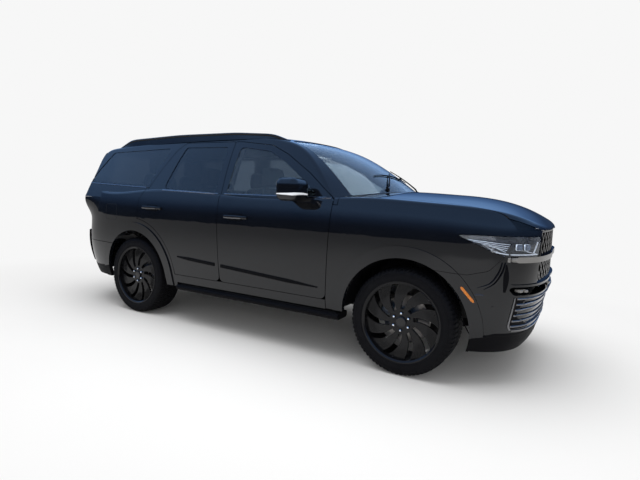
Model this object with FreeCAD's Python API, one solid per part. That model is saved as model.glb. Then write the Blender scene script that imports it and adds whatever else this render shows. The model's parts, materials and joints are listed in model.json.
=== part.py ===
import FreeCAD, Part
import os
import math
import Sketcher

V = FreeCAD.Vector
doc = FreeCAD.newDocument("large_suv")

# Driving dimensions in millimetres. +X is forward, +Y is the car's left, +Z is up, and the ground is Z = 0.
DIMENSIONS = [
    # whole car
    ("overall_length", 5334), ("body_width", 2030), ("roof_height", 1958), ("wheelbase", 3111),
    ("front_overhang", 945), ("track", 1700), ("belt_height", 1345), ("hood_rise", 100),
    ("windshield_bow", 320), ("tailgate_bow", 170), ("roof_crown", 45), ("roof_rounding", 45),
    ("shoulder_rounding", 45), ("glasshouse_width", 1896), ("glasshouse_height", 490), ("tumblehome", 147),
    ("glass_bulge", 53), ("waist_pinch", 12),
    # wheels and tyres
    ("tyre_diameter", 838), ("tyre_width", 285), ("rim_flange_diameter", 636), ("rim_width", 262), ("rim_wall", 9),
    ("rim_lip", 12), ("bead_clearance", 0.3), ("tread_groove", 8), ("groove_width", 9), ("hub_offset", 75),
    ("hub_diameter", 196), ("hub_thickness", 52), ("cap_diameter", 78), ("cap_thickness", 10), ("blade_count", 10),
    ("blade_thickness", 24), ("stud_circle", 135), ("stud_hole", 25), ("lug_count", 6), ("disc_diameter", 380),
    ("disc_thickness", 34), ("disc_place", 26), ("bearing_diameter", 92), ("bearing_clearance", 6),
    ("arch_radius", 500), ("arch_lip", 92), ("flare_out", 12), ("rear_door_arch", 640), ("well_side", 565),
    # panels
    ("panel_gap", 5.5), ("door_edge_slant", 0.3), ("outer_skin", 30), ("shell_wall", 75), ("door_inner_face", 850),
    ("frame_wall", 52), ("glass_thickness", 5), ("glass_setback", 6), ("seal_gap", 0.3), ("window_radius", 38),
    ("door_radius", 50), ("lid_wall", 28), ("gate_depth", 105), ("gate_drop", 42), ("gate_gap", 8),
    ("gate_edge_inset", 24), ("gate_edge_wall", 18), ("floor_top", 560),
    ("floor_thickness", 40), ("bulkhead_place", 1130), ("bulkhead_thickness", 40), ("roof_half_width", 640),
    ("liner_wall", 8), ("pillar_depth", 58), ("bumper_step", 38), ("apron_place", 470),
    # frame and running gear
    ("rail_width", 90), ("rail_height", 150), ("rail_spacing", 880), ("cross_diameter", 90),
    ("engine_length", 820), ("engine_width", 620), ("engine_height", 660), ("engine_bottom", 470),
    ("shaft_diameter", 80), ("exhaust_diameter", 76), ("silencer_diameter", 150), ("arm_thickness", 42),
    ("arm_width", 54), ("low_arm_spread", 118), ("high_arm_spread", 120), ("king_pin_inset", 75),
    ("king_pin_low", 250), ("king_pin_high", 628), ("knuckle_depth", 48), ("damper_diameter", 90),
    ("axle_tube_diameter", 70), ("differential_diameter", 300), ("differential_width", 200),
    # roof rails, steps and mirrors
    ("roof_rail_height", 24), ("step_height", 60), ("mirror_rounding", 60),
    # face of the car
    ("mesh_pitch", 74), ("mesh_wire", 12), ("mesh_depth", 24), ("mesh_setback", 10), ("grille_curve", 4100),
    ("bar_height", 44), ("slat_count", 5), ("slat_height", 20), ("slat_depth", 60), ("lens_depth", 70), ("lens_gap", 3),
    # cabin
    ("seat_width", 520), ("headrest_width", 270), ("steering_wheel_diameter", 370), ("steering_rim", 28),
    ("column_length", 380), ("console_width", 300), ("cushion_radius", 45),
    # how far a cutting solid runs past what it cuts
    ("overrun", 300),
]

sheet = doc.addObject("Spreadsheet::Sheet", "sizes")
for row, (alias, value) in enumerate(DIMENSIONS, start=1):
    sheet.set("A%d" % row, alias)
    sheet.set("B%d" % row, str(value))
    sheet.setAlias("B%d" % row, alias)
doc.recompute()


class Sizes:
    """The spreadsheet's values as plain numbers."""

    def __getattr__(self, name):
        return float(getattr(sheet, name))


S = Sizes()
half_length = S.overall_length / 2
half_width = S.body_width / 2
axle_height = S.tyre_diameter / 2
front_axle = half_length - S.front_overhang
rear_axle = front_axle - S.wheelbase
wheel_y = S.track / 2
PARTS = []


def keep(label, shape):
    """A node whose shape is made by Part's own functions."""
    solids = shape.Solids
    node = doc.addObject("Part::Feature", label)
    node.Label = label
    node.Shape = solids[0] if len(solids) == 1 else Part.makeCompound(solids)
    PARTS.append(node)
    return node


def mirrored(shape):
    return shape.mirror(V(0, 0, 0), V(0, 1, 0))


def both_sides(shape):
    return Part.makeCompound([shape, mirrored(shape)])


def px(share):
    """A place along the car, from a share of its half length."""
    return share * half_length


def py(share):
    """A place across the car, from a share of its half width."""
    return share * half_width


def pz(share):
    """A height, from a share of the belt's height."""
    return share * S.belt_height


def box(x0, x1, y0, y1, z0, z1):
    return Part.makeBox(x1 - x0, y1 - y0, z1 - z0, V(x0, y0, z0))


def share_box(shares):
    """A box from shares: two places along the car, two across it and two heights."""
    x0, x1, y0, y1, z0, z1 = shares
    return box(px(x0), px(x1), py(y0), py(y1), pz(z0), pz(z1))


def rounded(points, radius):
    """A closed outline of straight runs with rounded corners. Each point may carry a share of the radius."""
    count = len(points)
    corners = []
    for i, (corner, radius_share) in enumerate(points):
        before = points[i - 1][0] - corner
        after = points[(i + 1) % count][0] - corner
        a = V(before).normalize()
        b = V(after).normalize()
        half_turn = a.getAngle(b) / 2
        arc = radius * radius_share
        reach = min(arc / math.tan(half_turn), before.Length * 0.49, after.Length * 0.49) if arc else 0
        start = corner + a * reach
        end = corner + b * reach
        middle = None
        if reach:
            true_arc = reach * math.tan(half_turn)
            centre = corner + (a + b).normalize() * (true_arc / math.sin(half_turn))
            middle = centre + (corner - centre).normalize() * true_arc
        corners.append((start, middle, end))
    edges = []
    for i, (start, middle, end) in enumerate(corners):
        if middle is not None:
            edges.append(Part.Arc(start, middle, end).toShape())
        following = corners[(i + 1) % count][0]
        edges.append(Part.LineSegment(end, following).toShape())
    return Part.Wire(edges)


def side_outline(shares, radius=0):
    """An outline in the side view, from shares (x, z) or (x, z, radius)."""
    return rounded([(V(px(s[0]), 0, pz(s[1])), s[2] if len(s) > 2 else 1) for s in shares], radius)


def front_outline(shares, radius=0):
    """An outline in the front view, from shares (y, z) or (y, z, radius)."""
    return rounded([(V(0, py(s[0]), pz(s[1])), s[2] if len(s) > 2 else 1) for s in shares], radius)


def plan_outline(shares, radius=0):
    """An outline seen from above, from shares (x, y) or (x, y, radius)."""
    return rounded([(V(px(s[0]), py(s[1]), 0), s[2] if len(s) > 2 else 1) for s in shares], radius)


def grown(wire, amount):
    """The same outline, moved outwards by amount."""
    return wire.makeOffset2D(amount, 0, False, False, True)


def prism(wire, start, end):
    """An outline's face moved to start and swept on to end; both are vectors."""
    face = Part.Face(wire)
    face.translate(start)
    return face.extrude(end - start)


def right_side(wire, inner=0):
    """A side outline swept from the car's right side in to the plane y = -inner."""
    return prism(wire, V(0, -half_width - S.overrun, 0), V(0, -inner, 0))


def from_front(wire, back=0):
    """A front outline swept from ahead of the car back to x = back."""
    return prism(wire, V(half_length + S.overrun, 0, 0), V(back, 0, 0))


def from_rear(wire, ahead):
    return prism(wire, V(-half_length - S.overrun, 0, 0), V(ahead, 0, 0))


def from_above(wire, low):
    return prism(wire, V(0, 0, S.roof_height + S.overrun), V(0, 0, low))


def drum(x, z, radius, y0, y1):
    """A cylinder that lies across the car."""
    return Part.makeCylinder(radius, y1 - y0, V(x, y0, z), V(0, 1, 0))


def bar(start, end, diameter):
    """A round bar between two points."""
    return Part.makeCylinder(diameter / 2, (end - start).Length, start, end - start)


def bent_tube(points, diameter):
    """Round bars from point to point, with balls at the bends."""
    shape = bar(points[0], points[1], diameter)
    for start, end in zip(points[1:], points[2:]):
        shape = shape.fuse([Part.makeSphere(diameter / 2, start), bar(start, end, diameter)])
    return shape


# The outer form of the body below the glass: level outlines, lofted.
# A row gives a height as a share of the belt height, the half width as a share of the body's half width,
# and the reach of the nose and of the tail as shares of the half length.
LEVEL_SHARES = [
    (0.190, 0.912, 0.950, 0.915),
    (0.320, 0.957, 0.975, 0.955),
    (0.450, 0.982, 0.990, 0.975),
    (0.580, 0.994, 0.998, 0.983),
    (0.710, 1.000, 1.000, 0.975),
    (0.820, 0.998, 0.999, 0.978),
    (0.900, 0.987, 0.991, 0.988),
    (0.965, 0.968, 0.976, 0.990),
    (1.030, 0.945, 0.955, 0.980),
    (1.100, 0.918, 0.930, 0.962),
]
NOSE_POWER = 8
SIDE_POWER = 4
TAIL_POWER = 9
QUARTER_POINTS = 8


def level_points(z, width, nose, tail):
    """A smooth closed outline, blunt at both ends."""
    points = []
    for i in range(4 * QUARTER_POINTS):
        angle = i / QUARTER_POINTS * math.pi / 2
        c = round(math.cos(angle), 9)
        s = round(math.sin(angle), 9)
        power = NOSE_POWER if c >= 0 else TAIL_POWER
        x = math.copysign((nose if c >= 0 else tail) * abs(c) ** (2 / power), c)
        y = math.copysign(width * abs(s) ** (2 / SIDE_POWER), s)
        points.append(V(x, y, z))
    return points


def lower_body(inset):
    """The body below the glass, moved inwards by inset. One spacing serves all the outlines, so the loft stays light."""
    wires = []
    spacing = [0.0]
    for height, width, nose, tail in LEVEL_SHARES:
        points = level_points(pz(height), py(width) - inset, px(nose) - inset, px(tail) - inset)
        if len(spacing) == 1:
            for start, end in zip(points, points[1:] + points[:1]):
                spacing.append(spacing[-1] + (end - start).Length)
        curve = Part.BSplineCurve()
        curve.interpolate(Points=points, PeriodicFlag=True, Parameters=spacing)
        wires.append(Part.Wire([curve.toShape()]))
    return Part.makeLoft(wires, True, False)


def spline_face(grid):
    surface = Part.BSplineSurface()
    surface.interpolate(grid)
    return surface.toShape()


# The deck: the hood's top in front, and the belt line behind it. A row gives a place as a share of the half
# length, the height at the side as a share of the belt height, and the rise at the middle as a share of the
# hood's rise.
DECK_SHARES = [
    (-1.100, 1.078, 0.1), (-0.860, 1.062, 0.1), (-0.450, 1.025, 0.1), (0.000, 0.998, 0.1), (0.300, 0.996, 0.2),
    (0.440, 1.006, 0.6), (0.540, 1.006, 0.85), (0.680, 0.991, 0.95), (0.790, 0.974, 0.98), (0.880, 0.947, 0.85),
    (0.945, 0.909, 0.6), (0.985, 0.872, 0.35), (1.040, 0.800, 0.2),
]
DECK_ACROSS_SHARES = [-1.1, -0.85, -0.6, -0.3, 0.0, 0.3, 0.6, 0.85, 1.1]


def deck_face(drop):
    grid = []
    for place, side, rise in DECK_SHARES:
        line = []
        for across in DECK_ACROSS_SHARES:
            z = pz(side) + rise * S.hood_rise * (1 - across ** 2) - drop
            line.append(V(px(place), py(across), z))
        grid.append(line)
    return spline_face(grid)


def under_deck(drop):
    return deck_face(drop).extrude(V(0, 0, -2 * S.belt_height))


# The glasshouse: its middle line from the windshield's foot over the roof to the tail. A row gives a place as
# a share of the half length, a height as a share of the roof's, how far the line sweeps back towards the sides
# as a share of the windshield's bow (or, below zero, forward as a share of the tailgate's), and its crown.
RIDGE_SHARES = [
    (0.600, 0.687, 1.00, 0.6), (0.548, 0.722, 0.95, 0.6), (0.458, 0.806, 0.80, 0.7), (0.368, 0.880, 0.62, 0.8),
    (0.278, 0.938, 0.42, 0.9), (0.188, 0.973, 0.24, 1.0), (0.094, 0.992, 0.10, 1.0), (-0.075, 1.002, 0.00, 1.0),
    (-0.300, 1.000, 0.00, 1.0), (-0.520, 0.991, 0.00, 1.0), (-0.700, 0.980, -0.06, 1.0), (-0.800, 0.969, -0.24, 1.0),
    (-0.866, 0.950, -0.50, 1.0), (-0.898, 0.915, -0.75, 0.9), (-0.918, 0.860, -0.90, 0.8), (-0.942, 0.790, -1.00, 0.7),
    (-0.964, 0.725, -1.00, 0.6), (-0.986, 0.660, -1.00, 0.6),
]
RIDGE_ACROSS_SHARES = [-1.05, -0.78, -0.52, -0.26, 0.0, 0.26, 0.52, 0.78, 1.05]
BOW_WIDTH_SHARE = 0.79


def roof_face(drop):
    grid = []
    for place, height, bow, crown in RIDGE_SHARES:
        sweep = bow * (S.windshield_bow if bow > 0 else S.tailgate_bow)
        line = []
        for across in RIDGE_ACROSS_SHARES:
            part = across / BOW_WIDTH_SHARE
            z = height * S.roof_height - crown * S.roof_crown * part ** 2 - drop
            line.append(V(px(place) - sweep * part ** 2, py(across), z))
        grid.append(line)
    return spline_face(grid)


SIDE_PLACE_SHARES = [-1.05, -0.8, -0.5, -0.2, 0.1, 0.4, 0.7]
SIDE_RISE_SHARES = [-0.5, -0.2, 0.1, 0.4, 0.7, 1.0, 1.35]
PINCH_PLACE_SHARE = 0.9


def glass_side_face(inset):
    """The right side of the glasshouse, moved inwards by inset."""
    grid = []
    for place in SIDE_PLACE_SHARES:
        line = []
        for rise in SIDE_RISE_SHARES:
            lean = S.tumblehome * rise + S.glass_bulge * rise * abs(rise)
            pinch = S.waist_pinch * (place / PINCH_PLACE_SHARE) ** 2
            y = S.glasshouse_width / 2 - pinch - lean - inset
            line.append(V(px(place), -y, S.belt_height + rise * S.glasshouse_height))
        grid.append(line)
    return spline_face(grid)


def half_glasshouse(inset, rounding=0):
    """What the windshield, roof, tail and right side surfaces enclose above the belt, to the middle plane."""
    low = S.belt_height - S.shell_wall
    side = glass_side_face(inset).extrude(V(0, S.body_width, 0))
    side = side.common(box(-2 * half_length, half_length, -half_width, 0, low, 2 * S.roof_height))
    block = roof_face(inset).extrude(V(0, 0, -S.belt_height / 2)).common(side)
    if rounding:
        split = px(ROUNDING_END_SHARE)
        front = block.common(box(split, half_length, -half_width, 0, low, 2 * S.roof_height))
        tail = block.common(box(-2 * half_length, split, -half_width, 0, low, 2 * S.roof_height))
        edges = [e for e in front.Edges if e.BoundBox.XLength > half_length and e.BoundBox.YMin < -S.roof_half_width / 2]
        edges = [e for e in edges if e.BoundBox.ZMax > S.belt_height + S.overrun]
        block = front.makeFillet(rounding, edges).fuse(tail)
    return block


# Outlines in the side view: places along the car as shares of its half length, heights as shares of the belt's.
FRONT_DOOR_SHARES = [
    (0.3963, 0.3755), (0.4094, 0.9888, 0.3), (0.393, 1.0171, 1), (0.2981, 1.1599, 3), (0.1894, 1.29, 4),
    (0.1106, 1.3591, 4), (-0.0334, 1.3933, 4), (-0.069, 1.3963, 0.3), (-0.0619, 1.0, 1), (-0.0487, 0.3755),
]
REAR_DOOR_SHARES = [
    (-0.051, 0.3755), (-0.0641, 1.0, 1), (-0.0712, 1.3963, 0.3), (-0.3337, 1.4007, 2), (-0.3712, 1.3383, 2),
    (-0.4649, 1.032, 1), (-0.4961, 0.9413, 2), (-0.4994, 0.3755, 0.2),
]
FRONT_WINDOW_SHARES = [
    (0.3468, 1.0141, 0.5), (0.2868, 1.1056, 3), (0.1852, 1.2394, 4), (0.1076, 1.316, 4), (-0.0334, 1.3546),
    (-0.0394, 1.0141),
]
REAR_WINDOW_SHARES = [(-0.0919, 1.0171), (-0.096, 1.3576), (-0.3225, 1.3651), (-0.375, 1.032)]
QUARTER_WINDOW_SHARES = [(-0.4732, 1.0468, 0.8), (-0.4034, 1.3636), (-0.7837, 1.3428), (-0.8811, 1.0796)]
CANT_SHARES = [(0.5249, 1.5985, 0), (0.5249, 0.9442, 0), (-1.0874, 0.9442, 0), (-1.0874, 1.5985, 0)]
QUARTER_SHARES = [
    (-0.2437, 1.1152, 0), (-0.2437, 0.3123, 0), (-0.2756, 0.3123, 0), (-0.2793, 0.2788, 0), (-0.5249, 0.2788, 0),
    (-0.5249, 0.5591, 0), (-0.8624, 0.5591, 0.5), (-0.8856, 0.6409, 0.5), (-1.0874, 0.6409, 0), (-1.0874, 1.1152, 0),
]
REAR_BUMPER_SHARES = [
    (-0.5624, 0.2565, 0), (-0.5624, 0.555, 0), (-0.8635, 0.555, 0.5), (-0.8868, 0.6368, 0.5),
    (-1.0874, 0.6368, 0), (-1.0874, 0.2565, 0),
]
FENDER_SHARES = [
    (0.428, 1.1896, 0), (0.428, 0.9625, 0), (0.4109, 0.9625, 0), (0.3986, 0.3755, 0), (0.3986, 0.316, 0),
    (0.6374, 0.316, 0), (0.7349, 0.6364, 0), (0.8211, 0.626, 1), (0.8736, 0.6543, 1), (0.9074, 0.7323, 1),
    (1.0874, 0.7361, 0), (1.0874, 1.1896, 0),
]
LAMP_SIDE_SHARES = [(0.7889, 0.8357, 0.1), (1.0874, 0.8401, 0), (1.0874, 0.7323, 0), (0.9074, 0.7323, 1)]
# The side outlines that a door's leaning rear edge follows at the skin.
EDGE_START_SHARE = -0.9901
EDGE_SHARES = {
    "front": [(0.5624, 0.223), (-0.0454, 0.223), (-0.0596, 0.8848), (-0.0697, 1.0335), (0.5624, 1.0335)],
    "rear": [
        (0.0375, 0.223), (-0.5006, 0.223), (-0.4994, 0.8178), (-0.5036, 0.9413), (-0.4743, 1.032),
        (-0.4687, 1.0781), (0.0375, 1.0781),
    ],
}
# Outlines seen from in front or behind: places across the car as shares of its half width.
LAMP_FRONT_SHARES = [(-1.0837, 0.7323, 0), (-0.6305, 0.7323, 0.5), (-0.5892, 0.8401, 0.5), (-1.0837, 0.8401, 0)]
GRILLE_OPENING_SHARES = [
    (-0.8236, 0.5829, 0.6), (-0.8296, 0.7323, 0), (-0.5892, 0.7323, 0), (-0.5892, 0.8327), (-0.5517, 0.8684),
]
GRILLE_SHARES = [(-0.5813, 0.5829), (-0.5882, 0.8327), (-0.5512, 0.8677)]
LIGHT_BAR_SHARES = [(-0.8079, 0.7004), (-0.8079, 0.7316)]
SIDE_PANEL_SHARES = [(-0.8232, 0.5833, 0.6), (-0.8256, 0.7011, 0.2), (-0.5714, 0.7011, 0.2), (-0.5714, 0.5833, 0.2)]
INTAKE_SHARES = [(-0.5517, 0.3457), (-0.7488, 0.4164), (-0.6798, 0.5115)]
SLOT_SHARES = [(-0.7882, 0.5249), (-0.8374, 0.571)]
GATE_SHARES = [(-0.7586, 0.6454), (-0.7882, 0.8178, 2), (-0.7586, 1.0409, 2), (-0.6453, 1.4149, 1.5)]
GATE_WINDOW_SHARES = [(-0.6798, 1.0796), (-0.6059, 1.3309)]
TAIL_LAMP_SHARES = [(-1.0837, 0.8238, 0), (-0.7941, 0.8238, 0.3), (-0.7941, 0.8892, 0.3), (-1.0837, 0.8892, 0)]
GATE_LAMP_SHARES = [(0.0099, 0.8238, 0), (-0.7744, 0.8238, 0.3), (-0.7744, 0.8892, 0.3), (0.0099, 0.8892, 0)]
STEP_SHARES = [(-0.9911, 0.2565), (-0.9911, 0.2974), (-0.8177, 0.3048), (-0.8177, 0.2602)]
# Outlines seen from above.
HOOD_SHARES = [
    (0.5999, 0.2956, 0), (0.5774, 0.0, 4), (0.5624, -0.3251, 4), (0.5017, -0.7586, 3), (0.4882, -0.8719, 0.5),
    (0.8436, -0.8591, 4), (0.9374, -0.7882, 4), (0.9974, -0.5911, 6), (1.0199, 0.0, 0), (1.0199, 0.2956, 0),
]
SCREEN_SHARES = [
    (0.4443, -0.7882, 1), (0.165, -0.6502, 1), (0.2025, 0.0, 0), (0.165, 0.6502, 1), (0.4443, 0.7882, 1),
    (0.5849, 0.0, 0),
]

# Single places.
ROUNDING_END_SHARE = -0.8436
GATE_REACH_SHARE = -0.7987
LAMP_BACK_SHARE = 0.7499
LAMP_FRONT_LIMIT_SHARE = -0.8736
FENDER_INNER_SHARE = 0.597
BULKHEAD_TOP_SHARE = 1.0855
NOSE_FACE_SHARE = 0.9944
SHAFT_SHARE = 0.3271
ENGINE_BACK_SHARE = 0.4837
DAMPER_SHARE = -0.5665
DAMPER_TOP_SHARES = {"front": 0.6543, "rear": 0.4905}
STEERING_TILT = 24
HUB_GRIP_SHARE = 0.9
BEARING_SHARE = 0.8
UPPER_ARM_SHARE = 0.7
STUB_SHARE = 0.45

# Boxes: two places along the car, two across it and two heights.
FRONT_BLOCK_SHARES = (0.375, 1.0874, -1.0837, 0.0, 0.1487, 1.1896)
MIDDLE_BLOCK_SHARES = (-0.5624, 0.4312, -1.0837, 0.0, 0.1487, 1.1896)
REAR_BLOCK_SHARES = (-1.0874, -0.24, -1.0837, 0.0, 0.1487, 1.1896)
TAIL_CORNER_SHARES = (-1.0874, -0.8586, -1.0837, -0.7833, 0.6409, 1.0706)
CORNER_SHARES = (0.4124, 0.4259, -1.0837, -0.8374, 0.9665, 1.0558)
PILLAR_CUT_SHARES = (0.4094, 0.6374, -1.0837, 0.0, 0.8922, 1.5985)
PILLAR_FOOT_SHARES = (0.4094, 0.4874, -1.0837, -0.7488, 0.8922, 1.5985)
TUB_SHARES = (-0.7312, -0.3187, -0.8571, -0.5488, 0.3346, 0.7435)
TUB_WALL_SHARES = (-0.7312, -0.3187, -0.5567, -0.5488, 0.4944, 0.7435)
SILL_SHARES = (-0.285, 0.3963, -1.0837, -0.7094, 0.3123, 0.3717)
SILL_INNER_SHARES = (-0.285, 0.4236, -0.8315, -0.7094, 0.3123, 0.3864)
MIDDLE_POST_SHARES = (-0.0806, -0.0356, -0.8315, -0.7754, 0.3197, 1.0335)
UPPER_POST_SHARES = (-0.09, -0.0469, -0.9852, -0.6355, 1.0156, 1.4089)
HINGE_POST_SHARES = (0.4124, 0.4236, -0.9261, -0.7754, 0.3197, 0.974)
FRONT_HINGE_SHARES = [
    (0.3937, 0.4162, -0.9212, -0.867, 0.4758, 0.5204), (0.3937, 0.4162, -0.9212, -0.867, 0.7881, 0.8327),
]
REAR_HINGE_SHARES = [
    (-0.0795, -0.0682, -0.8371, -0.8276, 0.4758, 0.5204), (-0.0795, -0.0682, -0.8371, -0.8276, 0.7881, 0.8327),
]
ROOF_SHARES = (-0.7987, 0.2625, -0.6305, 0.6305, 1.1896, 1.5613)
GATE_HINGE_SHARES = (-0.8006, -0.7968, -0.4729, -0.3941, 1.3695, 1.3859)
GATE_TOP_SHARES = (-1.0874, -0.8007, -0.8867, 0.0, 1.0149, 1.5613)
GATE_LOW_SHARES = (-1.0874, -0.8249, -0.8867, 0.0, 0.6454, 1.1004)
HOOD_BLOCK_SHARES = (0.4124, 1.0874, -0.9852, 0.0, 0.8725, 1.2639)
HOOD_HINGE_SHARES = (0.4368, 0.5212, -0.8227, -0.7783, 0.9145, 1.0558)
COWL_SHARES = (0.4312, 0.6374, -0.8719, 0.8719, 0.8922, 1.1896)
FENDER_CUT_SHARES = [
    (0.375, 0.4987, -0.8773, 0.0, 0.855, 1.1896), (0.375, 0.7499, -0.8473, 0.0, 0.855, 1.1896),
]
FRONT_BUMPER_SHARES = (0.7124, 1.0874, -1.1823, 0.0, 0.1896, 0.8922)
NOSE_BLOCK_SHARES = (0.8624, 1.0124, -0.8867, 0.8867, 0.3271, 0.7435)
BUMPER_STEP_SHARES = (-1.0874, -0.8999, -1.1823, 0.0, 0.3494, 0.6368)
HITCH_GAP_SHARES = (-1.0874, -0.8624, -0.0453, 0.0453, 0.3227, 0.3911)
LINER_ZONE_SHARES = (0.4349, 0.8474, -1.0837, -0.4631, 0.342, 0.9665)
APRON_SHARES = (0.4387, 0.8418, -0.4631, -0.4552, 0.5204, 0.855)
TOWER_SHARES = (0.6269, 0.6644, -0.6305, -0.4552, 0.6543, 0.6729)
LAMP_BRACKET_SHARES = (0.8399, 0.9749, -0.7882, -0.6404, 0.7807, 0.8067)
SUPPORT_SHARES = (0.8399, 0.8661, -0.7882, 0.0, 0.803, 0.8327)
RADIATOR_SHARES = (0.8474, 0.8624, -0.5517, 0.0, 0.3569, 0.803)
CRASH_BOX_SHARES = (0.9074, 0.9168, -0.4778, -0.3892, 0.3271, 0.4907)
BUMPER_BRACKET_SHARES = (0.8924, 0.9974, -0.4729, -0.3941, 0.2974, 0.3309)
BEAM_SHARES = (0.9149, 0.9411, -0.5665, 0.0, 0.4164, 0.4907)
SLOT_BACK_SHARES = (0.8624, 0.8699, -0.8473, 0.0, 0.513, 0.5874)
MIRROR_SHARES = (0.2445, 0.3247, -1.1921, -0.9606, 0.977, 1.1197)
MIRROR_STALK_SHARES = (0.285, 0.3375, -1.0049, -0.9015, 0.9665, 1.0)

# Running gear.
RAIL_SHARES = [
    (0.9074, 0.3197), (0.4312, 0.2751), (-0.2625, 0.2751), (-0.4124, 0.3866), (-0.6562, 0.3866), (-0.7687, 0.3197),
    (-0.9299, 0.3197), (-0.9299, 0.4238), (-0.7499, 0.4238), (-0.6449, 0.487), (-0.4237, 0.487), (-0.285, 0.3792),
    (0.4312, 0.3792), (0.9074, 0.4164),
]
CROSS_SHARES = [
    (0.8624, 0.3643), (0.4499, 0.2786), (0.1125, 0.2602), (-0.2437, 0.2602), (-0.4312, 0.4461), (-0.6937, 0.4461),
    (-0.8924, 0.3717),
]
FRAME_BRACKET_SHARES = [
    (0.3375, 0.375, -0.7094, -0.4335, 0.3197, 0.3569), (-0.225, -0.1875, -0.7094, -0.4335, 0.3197, 0.3569),
    (0.5849, 0.7087, -0.4778, -0.3892, 0.1725, 0.2974), (0.5849, 0.7068, -0.4778, -0.3892, 0.3866, 0.4803),
    (-0.5849, -0.5624, -0.4778, -0.3892, 0.4461, 0.4905), (-0.9299, -0.9074, -0.4778, -0.3892, 0.4164, 0.4905),
]
REAR_BRACKET_SHARES = (-0.9974, -0.9261, -0.4631, -0.4039, 0.3494, 0.4015)
HITCH_SHARES = (-0.9899, -0.8924, -0.0394, 0.0394, 0.3271, 0.3866)
HITCH_HOLE_SHARES = (-1.0124, -0.9186, -0.025, 0.025, 0.338, 0.3758)
TANK_SHARES = (-0.225, 0.0937, 0.1182, 0.3889, 0.2454, 0.3829)
GEARBOX_SHARES = (0.1575, 0.4874, -0.1675, 0.1675, 0.3123, 0.3851)
SUMP_SHARES = (0.5849, 0.7499, -0.1773, 0.1773, 0.2528, 0.3569)
EXHAUST_SHARES = [
    (0.5624, -0.3432, 0.4758), (0.5024, -0.3432, 0.4461), (0.4649, -0.3432, 0.3494), (0.4049, -0.2857, 0.3457),
    (0.3375, -0.2759, 0.3271), (-0.2812, -0.2759, 0.3271), (-0.375, -0.2857, 0.3755), (-0.7499, -0.2857, 0.3755),
    (-0.8249, -0.2857, 0.2825), (-0.9186, -0.2857, 0.2565),
]
SILENCER_SHARES = [(0.0562, -0.2759, 0.3271), (-0.1875, -0.2759, 0.3271)]
RACK_SHARES = (0.5549, 0.2617)
CARRIER_SHARES = [
    (-0.5906, -0.5624, -0.4778, -0.3941, 0.1673, 0.3903), (-0.4799, -0.4518, -0.4778, -0.3941, 0.1673, 0.3903),
    (-0.5906, -0.5681, -0.4778, 0.0, 0.1948, 0.2454), (-0.4743, -0.4518, -0.4778, 0.0, 0.1948, 0.2454),
    (-0.5906, -0.4518, -0.0493, 0.0, 0.2082, 0.2454),
]
TYRE_SHARES = [
    (0.0, 0.90), (0.115, 0.90), (0.15, 0.965), (0.5, 1.0), (0.8, 0.975), (0.94, 0.90), (0.985, 0.80), (1.0, 0.64),
]
GROOVE_SHARES = [0.42, 0.14, -0.14, -0.42]
# One blade's corners: the share of the way from hub to rim, and the angle round the wheel in degrees.
BLADE_SHARES = [(0.0, 8), (0.5, 1), (1.0, -12), (1.0, -25), (1.0, -38), (0.5, -22), (0.0, -10)]

# Cabin.
FLOOR_SHARES = [
    (0.4236, 0.3866), (0.4236, 0.4164), (-0.2775, 0.4164), (-0.3712, 0.5204), (-0.9374, 0.5204), (-0.9374, 0.6409),
    (-0.9486, 0.6409), (-0.9486, 0.4907), (-0.3787, 0.4907), (-0.285, 0.3866),
]
DASH_SHARES = [(0.4236, 0.6914), (0.4236, 0.9665), (0.3112, 0.9591), (0.2775, 0.8773), (0.3, 0.7063)]
CONSOLE_SHARES = [
    (0.0, 0.4166), (0.0, 0.5948), (0.24, 0.632), (0.3, 0.7435), (0.375, 0.7435), (0.375, 0.4166),
]
STEERING_SHARES = (0.225, 0.4236, 0.8699)
SEAT_SHARES = [(0.0975, 0.4166), (0.0937, 0.6468), (-0.0862, 0.6245), (-0.0862, 0.4166)]
SEAT_BACK_SHARES = [(-0.0412, 0.5874), (-0.09, 1.0706), (-0.1312, 1.0632), (-0.0937, 0.5651)]
HEADREST_SHARES = [(-0.0844, 1.0595), (-0.09, 1.2193), (-0.1237, 1.2193), (-0.1294, 1.052)]
SEAT_ROW_SHARES = [(0.1312, -0.4236, 0.0), (-0.1912, -0.4236, 0.0), (-0.5849, -0.2759, 0.1041)]

# Fittings outside.
ROOF_RAIL_SHARES = [
    (0.165, -0.6621, 1.4007), (0.1237, -0.6798, 1.4349), (-0.075, -0.6897, 1.461), (-0.375, -0.6897, 1.4662),
    (-0.6749, -0.6847, 1.4498), (-0.7724, -0.6749, 1.4164),
]
STEP_ENDS_SHARES = (-0.27, 0.4462)
STEP_BRACKET_SHARES = [
    (-0.21, -0.1875, -0.8374, -0.7192, 0.2617, 0.312), (0.075, 0.0975, -0.8374, -0.7192, 0.2617, 0.312),
    (0.3375, 0.36, -0.8374, -0.7192, 0.2617, 0.312),
]


def symmetric(shares):
    """The right half of an outline, with its mirror image after it."""
    return list(shares) + [(-s[0],) + tuple(s[1:]) for s in reversed(shares)]


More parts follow.
